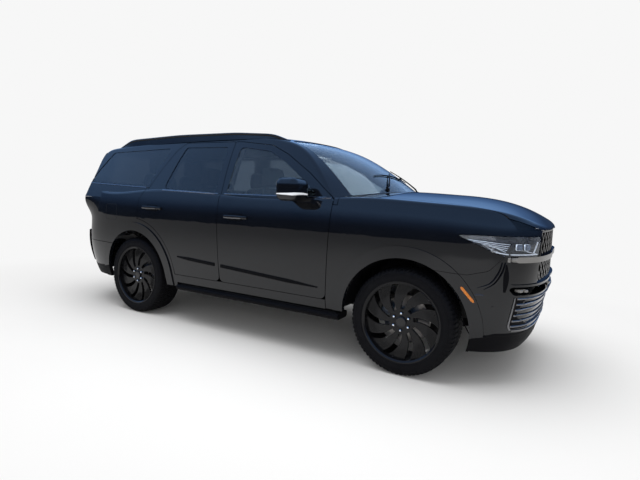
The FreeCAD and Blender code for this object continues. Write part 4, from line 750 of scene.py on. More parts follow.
def dress_wheel(name):
    bm = bmesh.new()
    add_flutes(bm)
    wheel_piece("flutes", name, bm, WHEEL_BLACK)
    bm = bmesh.new()
    add_lug_nuts(bm)
    wheel_piece("lug_nuts", name, bm, CHROME, sharp=30)
    bm = bmesh.new()
    add_lathe(bm, CAP_PROFILE, Matrix.Translation((0, FACE, 0)) @ OUTWARD)
    wheel_piece("cap", name, bm, GLOSS_BLACK)
    bm = bmesh.new()
    valve = Matrix.Rotation(math.radians(100), 4, "Y") @ Matrix.Translation((0.286, FACE + 0.005, 0)) @ OUTWARD
    add_lathe(bm, VALVE_PROFILE, valve, steps=12)
    wheel_piece("valve", name, bm, SEAL_RUBBER)
    bm = bmesh.new()
    add_caliper(bm, 1 if name.startswith("rear") else -1)
    wheel_piece("caliper", name, bm, CAST_ALLOY, "knuckle_" + name if name.startswith("front") else "body")
    centre = wheel_centre(name)
    inward = -1 if centre.y > 0 else 1
    plane = math.copysign(WHEEL_PLANE, centre.y)

    def on_disc(place, normal):
        depth = (place.y - plane) * inward
        return depth > -0.055 and math.hypot(place.x - centre.x, place.z - centre.z) < DISC_RADIUS
    second_finish("wheel_" + name, DISC_STEEL, on_disc)


for wheel in WHEELS:
    build_tyre(wheel)
    dress_wheel(wheel)


# Headlamps: a thin lens over a dark housing, reflector fins, projectors and light guides.

LAMP_MIDDLE_X, LAMP_MIDDLE_Y = 1.75, 0.25


def split_lamp(sign):
    """The headlamp solid's outer skin, and the rest of it, as lists of faces on one side."""
    mesh = NODES["headlamps"].data
    outer, inner = [], []
    for face in mesh.polygons:
        if face.center.y * sign < 0:
            continue
        away = face.center - Vector((LAMP_MIDDLE_X, sign * LAMP_MIDDLE_Y, 0))
        outward = Vector((away.x, away.y * 1.1, 0)).normalized()
        corners = [mesh.vertices[i].co.copy() for i in face.vertices]
        (outer if face.normal.dot(outward) > 0.55 else inner).append(corners)
    return outer, inner


def shell_of(faces, thickness, shift):
    """A thin shell grown inwards from a set of faces, moved inwards by shift."""
    bm = bmesh.new()
    for corners in faces:
        bm.faces.new([bm.verts.new(corner) for corner in corners])
    bmesh.ops.remove_doubles(bm, verts=bm.verts, dist=1e-5)
    bm.normal_update()
    normals = {vert: vert.normal.copy() for vert in bm.verts}
    for vert, normal in normals.items():
        vert.co -= normal * shift
    if thickness:
        bmesh.ops.solidify(bm, geom=bm.faces, thickness=thickness)
    return bm


def dress_headlamp(side, sign):
    outer, inner = split_lamp(sign)
    lens = piece_from("headlamp_lens_" + side, shell_of(outer, 0.003, 0.0), LENS)
    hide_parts("headlamps")
    piece_from("headlamp_housing_" + side, shell_of(inner, 0.0, 0.0008), LAMP_BLACK)
    on_side = from_side(sign, "headlamps")
    on_front = from_front("headlamps")
    bm = bmesh.new()
    for i in range(5):
        start, end = (2.165 + 0.052 * i, 1.096 - 0.0135 * i), (2.452 - 0.006 * i, 1.070 - 0.0135 * i)
        add_inset_rib(bm, on_side, line2(start, end, 16), 0.0060, 0.0035, 0.010)
    piece_from("headlamp_fins_" + side, bm, SILVER)
    bm = bmesh.new()
    brow = [(2.20 + 0.245 * k / 18, 1.050 - 0.050 * (k / 18) ** 0.8) for k in range(19)]
    add_inset_rib(bm, on_side, brow, 0.0085, 0.004, 0.008)
    add_inset_rib(bm, on_front, line2((sign * 0.845, 1.000), (sign * 0.630, 1.001), 18), 0.0085, 0.004, 0.008)
    add_inset_rib(bm, on_front, line2((sign * 0.688, 1.012), (sign * 0.643, 1.090), 8), 0.010, 0.004, 0.008)
    piece_from("headlamp_guides_" + side, bm, GLOWING_WHITE)
    for kind, back, wide, deep, bevel, material in (("projectors", 0.018, 0.040, 0.022, 0.007, BLUE_LENS),
                                                    ("bezels", 0.030, 0.054, 0.020, 0.009, SILVER)):
        bm = bmesh.new()
        for y in (0.735, 0.795):
            point, normal = on_front(sign * y, 1.052)
            add_block(bm, (wide, wide, deep), facing(point - normal * back, normal), bevel=bevel, segments=3)
        piece_from("headlamp_%s_%s" % (kind, side), bm, material)


# Front: light bar, fog lamps, corner vents with a painted-shade strip, marker lamps, the grille's surround and the
# sensors.

def in_light_bar(place, normal):
    return 0.9415 < place.z < 0.9845 and abs(place.y) < 0.825 and normal.x > 0.05


second_finish("upper_grille", LIGHT_BAR, in_light_bar)
ON_FACE = from_front("front_bumper", "fenders", "upper_grille", "lower_grille")
ON_BUMPER = from_front("front_bumper")


def dress_front(side, sign):
    on_side = from_side(sign, "front_bumper", "fenders")
    strips_piece("side_marker_" + side, on_side, [line2((2.158, 0.752), (2.246, 0.648), 10)],
                 [0.012] + [0.020] * 9 + [0.012], 0.005, AMBER)
    strips_piece("light_bar_end_" + side, ON_FACE, [line2((sign * 0.812, 0.963), (sign * 0.858, 0.963), 8)],
                 [0.040 - 0.010 * max(0, k - 5) / 3 for k in range(9)], 0.004, LIGHT_BAR)
    # A matt black strip in the corner vent: painted shade that stands in for the vent's dark opening.
    strips_piece("vent_shade_" + side, on_side, [line2((2.432, 0.930), (2.432, 0.730), 16, (0.006, 0))],
                 swelling(0.010, 0.024, 17, 18), 0.0012, TRIM_BLACK)
    blades = [path2([(2.262 + shift * 1.6, 0.752 - shift * 0.4), (2.345 + shift, 0.790),
                     (2.392 + shift * 0.8, 0.868), (2.410 + shift * 0.7, 0.945)], 22) for shift in (0.0, 0.026)]
    size = swelling(0.003, 0.011, 22, 24)
    strips_piece("winglet_" + side, on_side, blades, size, size, GLOSS_BLACK)
    strips_piece("side_slit_" + side, on_side, [line2((2.246, 0.701), (2.308, 0.701), 8, (0, 0.004))],
                 swelling(0.004, 0.008, 9, 10), 0.0012, LAMP_BLACK)
    bm = bmesh.new()
    front_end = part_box("front_bumper")[1].x
    for y, back in ((0.735, 0.120), (0.775, 0.150)):
        matrix = Matrix.Translation((front_end - back, sign * y, 0.742)) @ Matrix.Rotation(sign * 0.55, 4, "Z")
        add_block(bm, (0.050, 0.030, 0.018), matrix, bevel=0.005, segments=3)
    piece_from("fog_lamp_" + side, bm, LIGHT_BAR)
    sensors_piece("parking_sensor_" + side, on_side, [(2.365, 0.615)])


bm = bmesh.new()
lip = [(0.735 * (2 * k / 50 - 1), 0.431 + 0.006 * (k / 25 - 1) ** 8) for k in range(51)]
add_strip(bm, ON_BUMPER, lip, 0.013, 0.008)
for sign in (-1, 1):
    riser = path2([(sign * 0.742, 0.440), (sign * 0.768, 0.480), (sign * 0.786, 0.600), (sign * 0.792, 0.690)], 20)
    add_strip(bm, ON_BUMPER, riser, ramp(0.012, 0.005, 20), 0.007)
piece_from("grille_surround", bm, SATIN)
sensors_piece("front_sensors", ON_BUMPER, [(y, 0.425) for y in (-0.33, -0.11, 0.11, 0.33)])


# Lower grille: bright slats bridged over the openings, and dark plates behind their ends.

front_tree = tree_of("front_bumper", "lower_grille")
SLAT_FACES = 60
SLAT_LEVELS = [0.470 + 0.0425 * k for k in range(6)]
SLAT_SECTION = ((-0.014, -0.005), (0.002, -0.0075), (0.0055, -0.004), (0.006, 0.001), (0.003, 0.005), (-0.014, 0.006))


def met_from_ahead(tree, y, z):
    """Where a level ray from ahead of the car meets a tree, or None."""
    return tree.ray_cast(Vector((BEYOND_ENDS, y, z)), Vector((-1, 0, 0)))[0]


def front_reach(z, half):
    """The bumper's outermost x at each of the slat's places, with the openings bridged over."""
    places = []
    for y, _ in level2(half, z, SLAT_FACES):
        hits = [met_from_ahead(front_tree, y, z + lift) for lift in (-0.012, 0.0, 0.012)]
        places.append((y, max([hit.x for hit in hits if hit is not None] + [2.0])))
    hull = []
    for place in places:
        while len(hull) > 1 and ((hull[-1][0] - hull[-2][0]) * (place[1] - hull[-2][1])
                                 >= (hull[-1][1] - hull[-2][1]) * (place[0] - hull[-2][0])):
            hull.pop()
        hull.append(place)
    reach = []
    for y, _ in places:
        for first, second in zip(hull, hull[1:]):
            if first[0] <= y <= second[0]:
                reach.append((y, first[1] + (second[1] - first[1]) * (y - first[0]) / (second[0] - first[0])))
                break
    return reach


def grille_half(z):
    """Half the opening's width, which grows a little towards its top."""
    return 0.752 + 0.022 * (z - 0.45) / 0.24


slats = [[[Vector((x + dx, y, z + dz)) for dx, dz in SLAT_SECTION] for y, x in front_reach(z, grille_half(z))]
         for z in SLAT_LEVELS]
tubes_piece("lower_slats", slats, SATIN)
backs = [[(sign * y, z) for y, z in ((0.560, 0.690), (0.782, 0.690), (0.760, 0.448), (0.560, 0.448))]
         for sign in (-1, 1)]
patch_piece("lower_grille_back", ON_BUMPER, backs, 0.0015, 16, 18, TRIM_BLACK, sharp=40)


# Valance: the unpainted foot of the bumpers, and a lip along the paint's edge.

VALANCE_HALF = 0.900
VALANCE_LEVEL = 0.362


def valance_top(y):
    """The paint's lower edge: level under the grille, one step lower round the corners."""
    return VALANCE_LEVEL + 0.046 * min(1.0, max(0.0, (0.880 - abs(y)) / 0.070))


second_finish("front_bumper", TRIM_BLACK, lambda place, normal: place.z < valance_top(place.y))
second_finish("rear_bumper", TRIM_BLACK, lambda place, normal: place.z < 0.470)
bm = bmesh.new()
edge = [(y, valance_top(y) - 0.004) for y, _ in level2(VALANCE_HALF, 0, 80)]
add_strip(bm, ON_BUMPER, edge, 0.022, 0.003)
for sign in (-1, 1):
    corner = ON_BUMPER(sign * 0.895, VALANCE_LEVEL - 0.004)[0].x
    edge = line2((corner, VALANCE_LEVEL - 0.004), (2.150, VALANCE_LEVEL - 0.004), 16)
    add_strip(bm, from_side(sign, "front_bumper"), edge, 0.022, 0.003)
piece_from("valance_lip", bm, TRIM_BLACK)


# Nose caps: the skin between the fender tops and the hood's front edge.

hood_tree = tree_of("hood")
nose_tree = tree_of("fenders", "front_bumper", "upper_grille", "headlamps")
NOSE_BACK = 2.30
NOSE_STEP = 0.0015
CAP_START, CAP_LEVELS, CAP_THICK, LEAST_CAP = 1.172, 7, 0.004, 0.009


def first_on_nose(tree, y, start, rise, count):
    """The first place, up or down from a height, where the nose is met."""
    for step in range(count):
        place = met_from_ahead(tree, y, start + rise * step)
        if place is not None and place.x > NOSE_BACK:
            return place
    return None


def build_nose_cap(side, sign):
    bm = bmesh.new()
    columns = []
    for k in range(41):
        y = sign * (0.560 + 0.290 * k / 40)
        edge = first_on_nose(hood_tree, y, CAP_START, NOSE_STEP, 70)
        if edge is None:
            continue
        base = first_on_nose(nose_tree, y, edge.z - 0.002, -NOSE_STEP, 60)
        if base is None or edge.z - base.z < LEAST_CAP:
            continue
        low = base + Vector((-0.002, 0, -0.003))
        high = Vector((edge.x - 0.001, y, edge.z - 0.006))
        columns.append([bm.verts.new(low.lerp(high, share)) for share in ramp(0, 1, CAP_LEVELS)])
    for first, second in zip(columns, columns[1:]):
        for i in range(CAP_LEVELS - 1):
            bm.faces.new((first[i], first[i + 1], second[i + 1], second[i]))
    bmesh.ops.solidify(bm, geom=bm.faces, thickness=CAP_THICK)
    piece_from("nose_cap_" + side, bm, PAINT, sharp=60)


for side, sign in SIDES.items():
    dress_headlamp(side, sign)
    dress_front(side, sign)
    build_nose_cap(side, sign)


# Doors: handles over cups painted with the recess's shade, satin strips on the handles as painted highlights, belt
# strips, and dark strips painting the shadow line of the door crease; mirrors with a glowing blade as a painted
# highlight.

HANDLES = {"front": (0.075, 1.140), "rear": (-1.085, 1.178)}
BELTS = {"front": ((1.060, 1.353), (-0.130, 1.353)), "rear": ((-0.200, 1.353), (-0.985, 1.372))}
CREASE_SHADE_ENDS = {"front": (0.985, -0.108), "rear": (-0.190, -0.700)}
GRIP_SECTION = ((1, 0), (0.85, 0.75), (0.3, 1.15), (-0.3, 1.15), (-0.85, 0.75), (-1, 0), (-0.8, -0.9), (0.8, -0.9))
GRIP_HIGHLIGHT_SECTION = ((0.22, 0.010), (0.22, 0.0135), (-0.22, 0.0125), (-0.22, 0.009))
GRIP_THICK = 0.0085
GRIP_STEPS = 24


def handle_rings(project, x, z):
    """A grip that bridges its cup, and a satin strip along its lower edge that paints the grip's highlight."""
    grip, strip = [], []
    for k in range(GRIP_STEPS + 1):
        t = k / GRIP_STEPS
        point, normal = project(x - 0.140 + 0.280 * t, z)
        stand = 0.034 * min(1.0, 3.2 * math.sin(math.pi * t))
        half = Vector((0, 0, 0.0185 - 0.004 * abs(2 * t - 1)))
        middle = point + normal * (stand + 0.005)
        grip.append([middle + half * c + normal * GRIP_THICK * s for c, s in GRIP_SECTION])
        strip.append([middle - half * 0.62 + half * c + normal * s for c, s in GRIP_HIGHLIGHT_SECTION])
    return grip, strip[3:-3]


def door_names(end, side):
    return "door_%s_%s" % (end, side), "%s_door_%s" % (end, side)


def dress_door(end, side, sign):
    node, body = door_names(end, side)
    which = "_%s_%s" % (end, side)
    on_door = from_side(sign, node)
    x, z = HANDLES[end]
    grip, strip = handle_rings(on_door, x, z)
    tubes_piece("handle" + which, [grip], GLOSS_BLACK, body)
    # The satin strip on the black grip is a painted highlight.
    tubes_piece("handle_highlight_strip" + which, [strip], SATIN, body)
    # The black ring and plate in the handle's cup are painted shade standing in for the dark recess.
    bm = bmesh.new()
    cup = outline2(rect2(x - 0.095, x + 0.085, z + 0.030, z - 0.030), 0.028)
    add_strip(bm, on_door, dense_outline(cup, 0.015), 0.005, 0.002, closed=True)
    add_patch(bm, on_door, rect2(x - 0.088, x + 0.078, z + 0.024, z - 0.024), 0.0008, across=8, along=4)
    piece_from("handle_cup_shade" + which, bm, TRIM_BLACK, body)
    strips_piece("belt_strip" + which, on_door, [line2(*BELTS[end], 24)], 0.013, 0.006, SATIN, body)
    # A dark strip along the door's crease: painted shade standing in for the crease's shadow line.
    crease_shade = [(x, 0.598 + 0.058 * (0.985 - x)) for x in ramp(*CREASE_SHADE_ENDS[end], 31)]
    wide = [0.010 + 0.024 * min(1, k / 8) for k in range(31)]
    if end == "rear":
        wide = [0.034 - 0.020 * max(0, k - 20) / 10 for k in range(31)]
    strips_piece("door_crease_shade" + which, on_door, [crease_shade], wide, 0.007, TRIM_BLACK, body)


def dress_mirror(side, sign):
    node, body = "mirror_" + side, "front_door_" + side
    low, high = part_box(node)
    outer = low.y if sign < 0 else high.y
    # The bright blade on the mirror head glows faintly in the glowing white finish: a painted highlight.
    bm = bmesh.new()
    line = line2((outer - sign * 0.010, 1.372), (outer - sign * 0.210, 1.372), 20, (0, 0.004))
    add_strip(bm, from_front(node), line, ramp(0.022, 0.012, 21), 0.003)
    add_strip(bm, from_side(sign, node), line2((0.845, 1.371), (0.675, 1.371), 12), ramp(0.022, 0.008, 13), 0.003)
    piece_from("mirror_blade_glow_" + side, bm, GLOWING_WHITE, body)
    glass = rect2(outer - sign * 0.028, outer - sign * 0.212, 1.484, 1.340)
    patch_piece("mirror_glass_" + side, from_rear(node), [glass], 0.002, 12, 8, MIRROR_GLASS, body, sharp=40)
    second_finish(node, GLOSS_BLACK, lambda place, normal: place.z < 1.352)


# Shoulder pieces: the skin that carries the quarter's lower corner down into the body side.

gate_tree = tree_of("tailgate")
lamp_tree = tree_of("tail_lamps")
SHOULDER_FOOT = 1.000
LAMP_LEVELS = (1.104, 1.200)
LEDGE_START, LEDGE_STEP, LEAST_LEDGE = 1.225, 0.003, 0.004
GATE_LEVEL, GATE_CLEAR = 1.20, 0.012
LAMP_MIDDLE_Z = 1.15
TAIL_X, TAIL_Y, REACH_START = -1.9, 0.45, 1.5
BAND_RINGS = 7


def tail_point(sign, away, z, reach):
    """The place at a height and a reach from the middle of one side of the tail."""
    return Vector((TAIL_X, sign * TAIL_Y, z)) + away * reach


def reach_from(tree, sign, away, z):
    """How far a skin stands from the tail's middle in one direction."""
    start = tail_point(sign, away, z, REACH_START)
    place = tree.ray_cast(start, -away)[0]
    return 0.0 if place is None else REACH_START - (place - start).length


def build_shoulder(side, sign):
    skin_tree = tree_of("body_side_" + side, "tail_lamps")
    bands = {"low": [], "lamp": [], "top": []}
    for angle in ramp(math.radians(216), math.radians(252), 57):
        away = Vector((math.cos(angle), sign * abs(math.sin(angle)), 0))

        def reach(z, tree=skin_tree):
            return reach_from(tree, sign, away, z)
        if reach(GATE_LEVEL, gate_tree) > reach(GATE_LEVEL) - GATE_CLEAR:
            continue
        jump, ledge = max((reach(z + LEDGE_STEP) - reach(z), z)
                          for z in (LEDGE_START + LEDGE_STEP * step for step in range(30)))
        if jump < LEAST_LEDGE:
            continue
        lamp_here = reach(LAMP_MIDDLE_Z, lamp_tree) > reach(LAMP_MIDDLE_Z) - 0.003
        for name, low, top in (("low", SHOULDER_FOOT, LAMP_LEVELS[0]), ("lamp", *LAMP_LEVELS),
                               ("top", LAMP_LEVELS[1], ledge)):
            outer, inner = [], []
            for z in ramp(low, top, BAND_RINGS):
                share = (z - SHOULDER_FOOT) / (ledge - SHOULDER_FOOT)
                swell = (jump - 0.002) * share * share * (3 - 2 * share)
                outer.append(tail_point(sign, away, z, reach(z) + swell))
                inner.append(tail_point(sign, away, z, reach(z) - 0.004))
            bands[name].append((lamp_here, outer + inner[::-1]))
    painted = [[ring for _, ring in bands[name]] for name in ("low", "top")]
    painted.append([ring for lamp_here, ring in bands["lamp"] if not lamp_here])
    tubes_piece("shoulder_" + side, [rings for rings in painted if len(rings) > 1], PAINT, sharp=50)
    tubes_piece("shoulder_lamp_" + side, [[ring for lamp_here, ring in bands["lamp"] if lamp_here]], RED_LENS, sharp=50)


# Tail: quarter trim, fuel flap, lamp lines, plate, handle bar, reflectors, sensors and wiper.

TAIL_LINES = (1.128, 1.152, 1.176)
ON_GATE = from_rear("tailgate", "tailgate_lamp", "tailgate_glass")
ON_GATE_GLASS = from_rear("tailgate_glass")
ON_REAR_BUMPER = from_rear("rear_bumper")


def dress_tail(side, sign):
    strips_piece("belt_strip_quarter_" + side, from_side(sign, "body_side_" + side),
                 [line2((-1.075, 1.386), (-2.325, 1.432), 30)], 0.013, 0.006, SATIN)
    strips_piece("tail_lines_" + side, from_rear("tail_lamps", "tailgate_lamp", "body_side_" + side, "tailgate"),
                 [line2((sign * 0.818, z), (sign * 0.903, z), 10) for z in TAIL_LINES], 0.007, 0.003, TAIL_GLOW)


for side, sign in SIDES.items():
    for end in ("front", "rear"):
        dress_door(end, side, sign)
    dress_mirror(side, sign)
    build_shoulder(side, sign)
    dress_tail(side, sign)

flap = dense_outline(outline2(rect2(-1.905, -1.700, 1.195, 1.020), 0.03), 0.02)
strips_piece("fuel_flap_seam", from_side(-1, "body_side_right"), [flap], 0.0035, 0.0008, SEAL_RUBBER, closed=True)
strips_piece("gate_bar", ON_GATE, [level2(0.70, 1.085, 40)], 0.018, 0.010, SATIN, "tailgate")
patch_piece("plate_recess", ON_GATE, [rect2(-0.255, 0.255, 1.010, 0.890)], 0.003, 14, 6, TRIM_BLACK, "tailgate",
            sharp=40)
patch_piece("blank_plate", ON_GATE, [rect2(-0.152, 0.152, 1.004, 0.900)], 0.010, 8, 4, PLATE, "tailgate", sink=0.0,
            sharp=40)
strips_piece("rear_reflectors", ON_REAR_BUMPER,
             [line2((sign * 0.560, 0.600), (sign * 0.790, 0.600), 12) for sign in (-1, 1)], 0.026, 0.004, RED_LENS)
strips_piece("gate_lamp_lines", from_rear("tailgate_lamp"), [level2(0.775, z, 60) for z in TAIL_LINES],
             0.007, 0.003, TAIL_GLOW, "tailgate")
sensors_piece("rear_sensors", ON_REAR_BUMPER, [(y, 0.690) for y in (-0.62, -0.24, 0.24, 0.62)])


def above_skin(project, path, height):
    """Points that stand at one height over the skin along a path."""
    places = [project(u, v) for u, v in path]
    return [point + normal * height for point, normal in places]


bm = bmesh.new()
add_lathe(bm, [(0.022, -0.004), (0.022, 0.010), (0.016, 0.018), (0.0, 0.020)], facing(*ON_GATE_GLASS(0.0, 1.475)),
          steps=24)
arm = above_skin(ON_GATE_GLASS, line2((0.02, 1.478), (0.29, 1.508), 8), 0.016)
add_tube(bm, arm, ramp(0.007, 0.004, 9), sides=8)
add_tube(bm, above_skin(ON_GATE_GLASS, line2((0.08, 1.482), (0.46, 1.516), 12), 0.007), 0.0055, sides=6)
piece_from("rear_wiper", bm, TRIM_BLACK, "tailgate")


# Windshield wipers on the cowl.

ON_WINDSHIELD = from_top("windshield", "bulkhead", "hood")


def add_wiper(bm, pivot, tip, blade_start, blade_end):
    base, _ = ON_WINDSHIELD(*pivot)
    line = [base + Vector((0, 0, 0.004)), base + Vector((-0.01, 0, 0.024))]
    line += above_skin(ON_WINDSHIELD, line2(pivot, tip, 8)[1:], 0.020)
    add_tube(bm, smooth_path(line, 20), ramp(0.009, 0.004, 20), sides=8)
    blade = above_skin(ON_WINDSHIELD, line2(blade_start, blade_end, 18), 0.0085)
    add_tube(bm, blade, [0.003 + 0.004 * math.sin(math.pi * k / 18) for k in range(19)], sides=6)
    add_lathe(bm, [(0.016, -0.012), (0.016, 0.016), (0.011, 0.022), (0.0, 0.023)], placed(base), steps=20)


bm = bmesh.new()
add_wiper(bm, (1.330, -0.40), (1.175, -0.02), (1.165, -0.36), (1.255, 0.24))
add_wiper(bm, (1.330, 0.42), (1.130, 0.10), (1.060, 0.66), (1.245, 0.06))
piece_from("wipers", bm, TRIM_BLACK)


# Cabin: padded seats, wheel hub, screens, door trims, headliner, carpets and the inner mirror.

SEAT_ROWS = {"front": (0.350, 0.430, 0.0, 0.52), "middle": (-0.510, 0.430, 0.0, 0.52),
             "third": (-1.560, 0.280, 0.140, 0.50)}
BASE_PROFILE = [(0.260, 0.640), (0.268, 0.862), (-0.150, 0.840), (-0.180, 0.640)]
BACK_PROFILE = [(-0.112, 0.800), (-0.238, 1.430), (-0.342, 1.425), (-0.246, 0.770)]
HEAD_PROFILE = [(-0.228, 1.448), (-0.242, 1.632), (-0.328, 1.632), (-0.338, 1.440)]
CUSHION_STEPS = 48
CHANNEL_DEPTH, SEAM_DEPTH, SEAM_WIDTH, EDGE_ROLL = 0.006, 0.008, 0.025, 0.014


def add_cushion(bm, profile, origin, width, crown, channels, seams, radius):
    """A crowned pad: the side profile carried across, pulled in at the ends, with sewn channels and edge seams."""
    x0, y0, z0 = origin
    outline = dense_outline(outline2(profile, radius, steps=8), 0.012)
    along, up = [point[0] for point in outline], [point[1] for point in outline]
    middle = Vector((sum(along) / len(outline), sum(up) / len(outline)))
    length, height = max(along) - min(along), max(up) - min(up)
    rings = []
    for i in range(CUSHION_STEPS + 1):
        t = math.sin((2 * i / CUSHION_STEPS - 1) * math.pi / 2)
        pull = 1 - 0.30 * abs(t) ** 7
        swell = crown * (1 - t * t)
        for seam in (-seams, seams):
            swell -= SEAM_DEPTH * math.exp(-((t - seam) / SEAM_WIDTH) ** 2)
        if abs(t) > seams:
            swell += EDGE_ROLL * math.sin(math.pi * min(1, (abs(t) - seams) / (1 - seams)))
        ring = []
        for u, v in outline:
            share = (v - min(up)) / height if height > length else (u - min(along)) / length
            sewn = abs(math.cos(math.pi * channels * share)) ** 12 if channels and abs(t) < seams else 0.0
            away = Vector((u, v)) - middle
            place = middle + away * pull + away.normalized() * (swell - CHANNEL_DEPTH * sewn)
            ring.append((x0 + place.x, y0 + t * width / 2, z0 + place.y))
        rings.append(ring)
    skin_rings(bm, rings)


def add_seat(row, side, sign):
    x, y, z, width = SEAT_ROWS[row]
    name = "_%s_%s" % (row, side)
    for kind, profile, wide, crown, channels, seams, radius, fill in (
            ("seat_cushion", BASE_PROFILE, width * 0.96, 0.010, 5, 0.60, 0.05, 0.8),
            ("seat_back", BACK_PROFILE, width * 0.92, 0.008, 8, 0.60, 0.045, 0.8),
            ("headrest", HEAD_PROFILE, 0.262, 0.006, 0, 0.86, 0.035, 0.9)):
        bm = bmesh.new()
        add_cushion(bm, profile, (x, sign * y, z), wide, crown, channels, seams, radius)
        pad = piece_from(kind + name, bm, LEATHER, sharp=70)
        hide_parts("seats")
    bm = bmesh.new()
    for offset in (-0.065, 0.065):
        post = [Vector((x - 0.285, sign * y + offset, z + 1.38)), Vector((x - 0.287, sign * y + offset, z + 1.50))]
        add_tube(bm, post, 0.006)
    piece_from("headrest_posts" + name, bm, CHROME)
    bm = bmesh.new()
    add_block(bm, (0.42, width * 0.80, 0.085), placed((x + 0.045, sign * y, z + 0.607)), bevel=0.02, segments=3)
    for offset in (-0.17, 0.17):
        add_block(bm, (0.46, 0.035, 0.040), placed((x + 0.02, sign * y + offset, z + 0.578)), bevel=0.008)
    base = piece_from("seat_base" + name, bm, CABIN)
    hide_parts("seats")


def from_cabin(x, *names):
    return caster(names, lambda y, z: (x, y, z), (1, 0, 0))


def from_inside(sign, *names):
    return caster(names, lambda x, z: (x, sign * 0.30, z), (0, sign, 0))


def from_below(start, *names):
    return caster(names, lambda x, y: (x, y, start), (0, 0, 1))


WHEEL_TILT = math.radians(24)
toward_driver = Vector((-math.cos(WHEEL_TILT), 0, math.sin(WHEEL_TILT)))
wheel_up = Vector((math.sin(WHEEL_TILT), 0, math.cos(WHEEL_TILT)))
steering_frame = Matrix.Translation((0.600, 0.430, 1.170)) @ Matrix((
    (0, wheel_up.x, toward_driver.x), (-1, 0, 0), (0, wheel_up.z, toward_driver.z))).to_4x4()
bm = bmesh.new()
add_block(bm, (0.150, 0.125, 0.050), steering_frame @ placed((0, -0.008, 0.004)), bevel=0.022, segments=5)
for angle, wide in ((0, 0.036), (math.pi, 0.036), (-math.pi / 2, 0.050)):
    turn = Matrix.Rotation(angle, 4, "Z") @ Matrix.Translation((0.118, 0, -0.004))
    add_block(bm, (0.125, wide, 0.020), steering_frame @ turn, bevel=0.008, segments=3)
piece_from("steering_hub", bm, CABIN)
bm = bmesh.new()
for side in (-1, 1):
    for row in range(2):
        place = placed((side * 0.105, 0.007 - row * 0.014, 0.009))
        add_block(bm, (0.018, 0.010, 0.006), steering_frame @ place, bevel=0.002)
piece_from("steering_buttons", bm, SATIN)

ON_DASH = from_cabin(0.30, "dashboard")
ON_CONSOLE = from_top("dashboard")
bm = bmesh.new()
for y, z, wide, high in ((0.0, 1.205, 0.345, 0.165), (0.430, 1.255, 0.310, 0.105)):
    add_block(bm, (0.014, wide, high), placed((ON_DASH(y, z)[0].x - 0.020, y, z), -8), bevel=0.006, segments=3)
piece_from("screens", bm, SCREEN)
bm = bmesh.new()
for y in (-0.66, -0.17, 0.17, 0.70):
    x = ON_DASH(y, 1.085)[0].x - 0.004
    for slat in range(4):
        add_block(bm, (0.012, 0.115, 0.005), placed((x, y, 1.068 + slat * 0.012)), bevel=0.002)
piece_from("air_vents", bm, SATIN)
strips_piece("dash_strip", ON_DASH, [level2(0.70, 1.130, 30)], 0.020, 0.004, SATIN)
bm = bmesh.new()
for x in (0.42, 0.55):
    add_lathe(bm, [(0.042, -0.002), (0.042, 0.004), (0.036, 0.005), (0.034, -0.001)], placed(ON_CONSOLE(x, 0.0)[0]),
              steps=32)
lever = ON_CONSOLE(0.28, 0.06)[0] + Vector((0, 0, 0.014))
add_block(bm, (0.085, 0.045, 0.030), placed(lever), bevel=0.012, segments=4)
piece_from("console_details", bm, GLOSS_BLACK)

TRIM_ENDS = {"front": (0.96, -0.08), "rear": (-0.20, -0.88)}
SPEAKER_PROFILE = [(0.085, -0.004), (0.085, 0.004), (0.080, 0.007), (0.074, 0.005), (0.070, 0.007), (0.0, 0.010)]


def dress_door_inside(end, side, sign):
    node, body = door_names(end, side)
    which = "_%s_%s" % (end, side)
    on_panel = from_inside(sign, node)
    first, last = TRIM_ENDS[end]
    bm = bmesh.new()
    add_patch(bm, on_panel, rect2(first, last, 1.290, 0.560), 0.012, across=20, along=16)
    arm = line2((first - 0.15, 1.005), (last + 0.10, 1.025), 20)
    add_strip(bm, on_panel, arm, 0.080, [0.020 + 0.040 * abs(math.sin(math.pi * k / 20)) ** 0.5 for k in range(21)])
    piece_from("door_trim" + which, bm, CABIN, body, sharp=50)
    bm = bmesh.new()
    add_strip(bm, on_panel, line2((first, 1.150), (last, 1.150), 20), 0.016, 0.018)
    point, _ = on_panel(first - 0.16, 1.10)
    add_block(bm, (0.110, 0.016, 0.030), placed(point - Vector((0, sign * 0.022, 0))), bevel=0.006)
    piece_from("inner_handle" + which, bm, SATIN, body)
    bm = bmesh.new()
    point, _ = on_panel(first - 0.20, 0.70)
    add_lathe(bm, SPEAKER_PROFILE, placed(point - Vector((0, sign * 0.010, 0)), 90 * sign, "X"))
    piece_from("speaker" + which, bm, TRIM_BLACK, body)


for side, sign in SIDES.items():
    for row in SEAT_ROWS:
        add_seat(row, side, sign)
    for end in TRIM_ENDS:
        dress_door_inside(end, side, sign)

UNDER_ROOF = from_below(1.40, "roof_panel")
roof_inside = [(0.20, 0.56), (0.20, -0.56), (-1.95, -0.56), (-1.95, 0.56)]
patch_piece("headliner", UNDER_ROOF, [roof_inside], 0.010, 24, 40, HEADLINER)
bm = bmesh.new()
for sign in (-1, 1):
    point, _ = UNDER_ROOF(0.22, sign * 0.34)
    visor = placed((point.x + 0.02, sign * 0.34, point.z - 0.034), 12)
    add_block(bm, (0.150, 0.380, 0.022), visor, bevel=0.010, segments=4)
piece_from("sun_visors", bm, HEADLINER, sharp=60)
mats = [[(x0, sign * 0.18), (x0, sign * 0.68), (x1, sign * 0.68), (x1, sign * 0.18)]
        for x0, x1 in ((0.74, 0.02), (-0.14, -0.76)) for sign in (-1, 1)]
patch_piece("carpets", from_top("floor_pan"), mats, 0.012, 10, 14, CARPET)
bm = bmesh.new()
glass, _ = from_top("windshield")(0.640, 0.0)
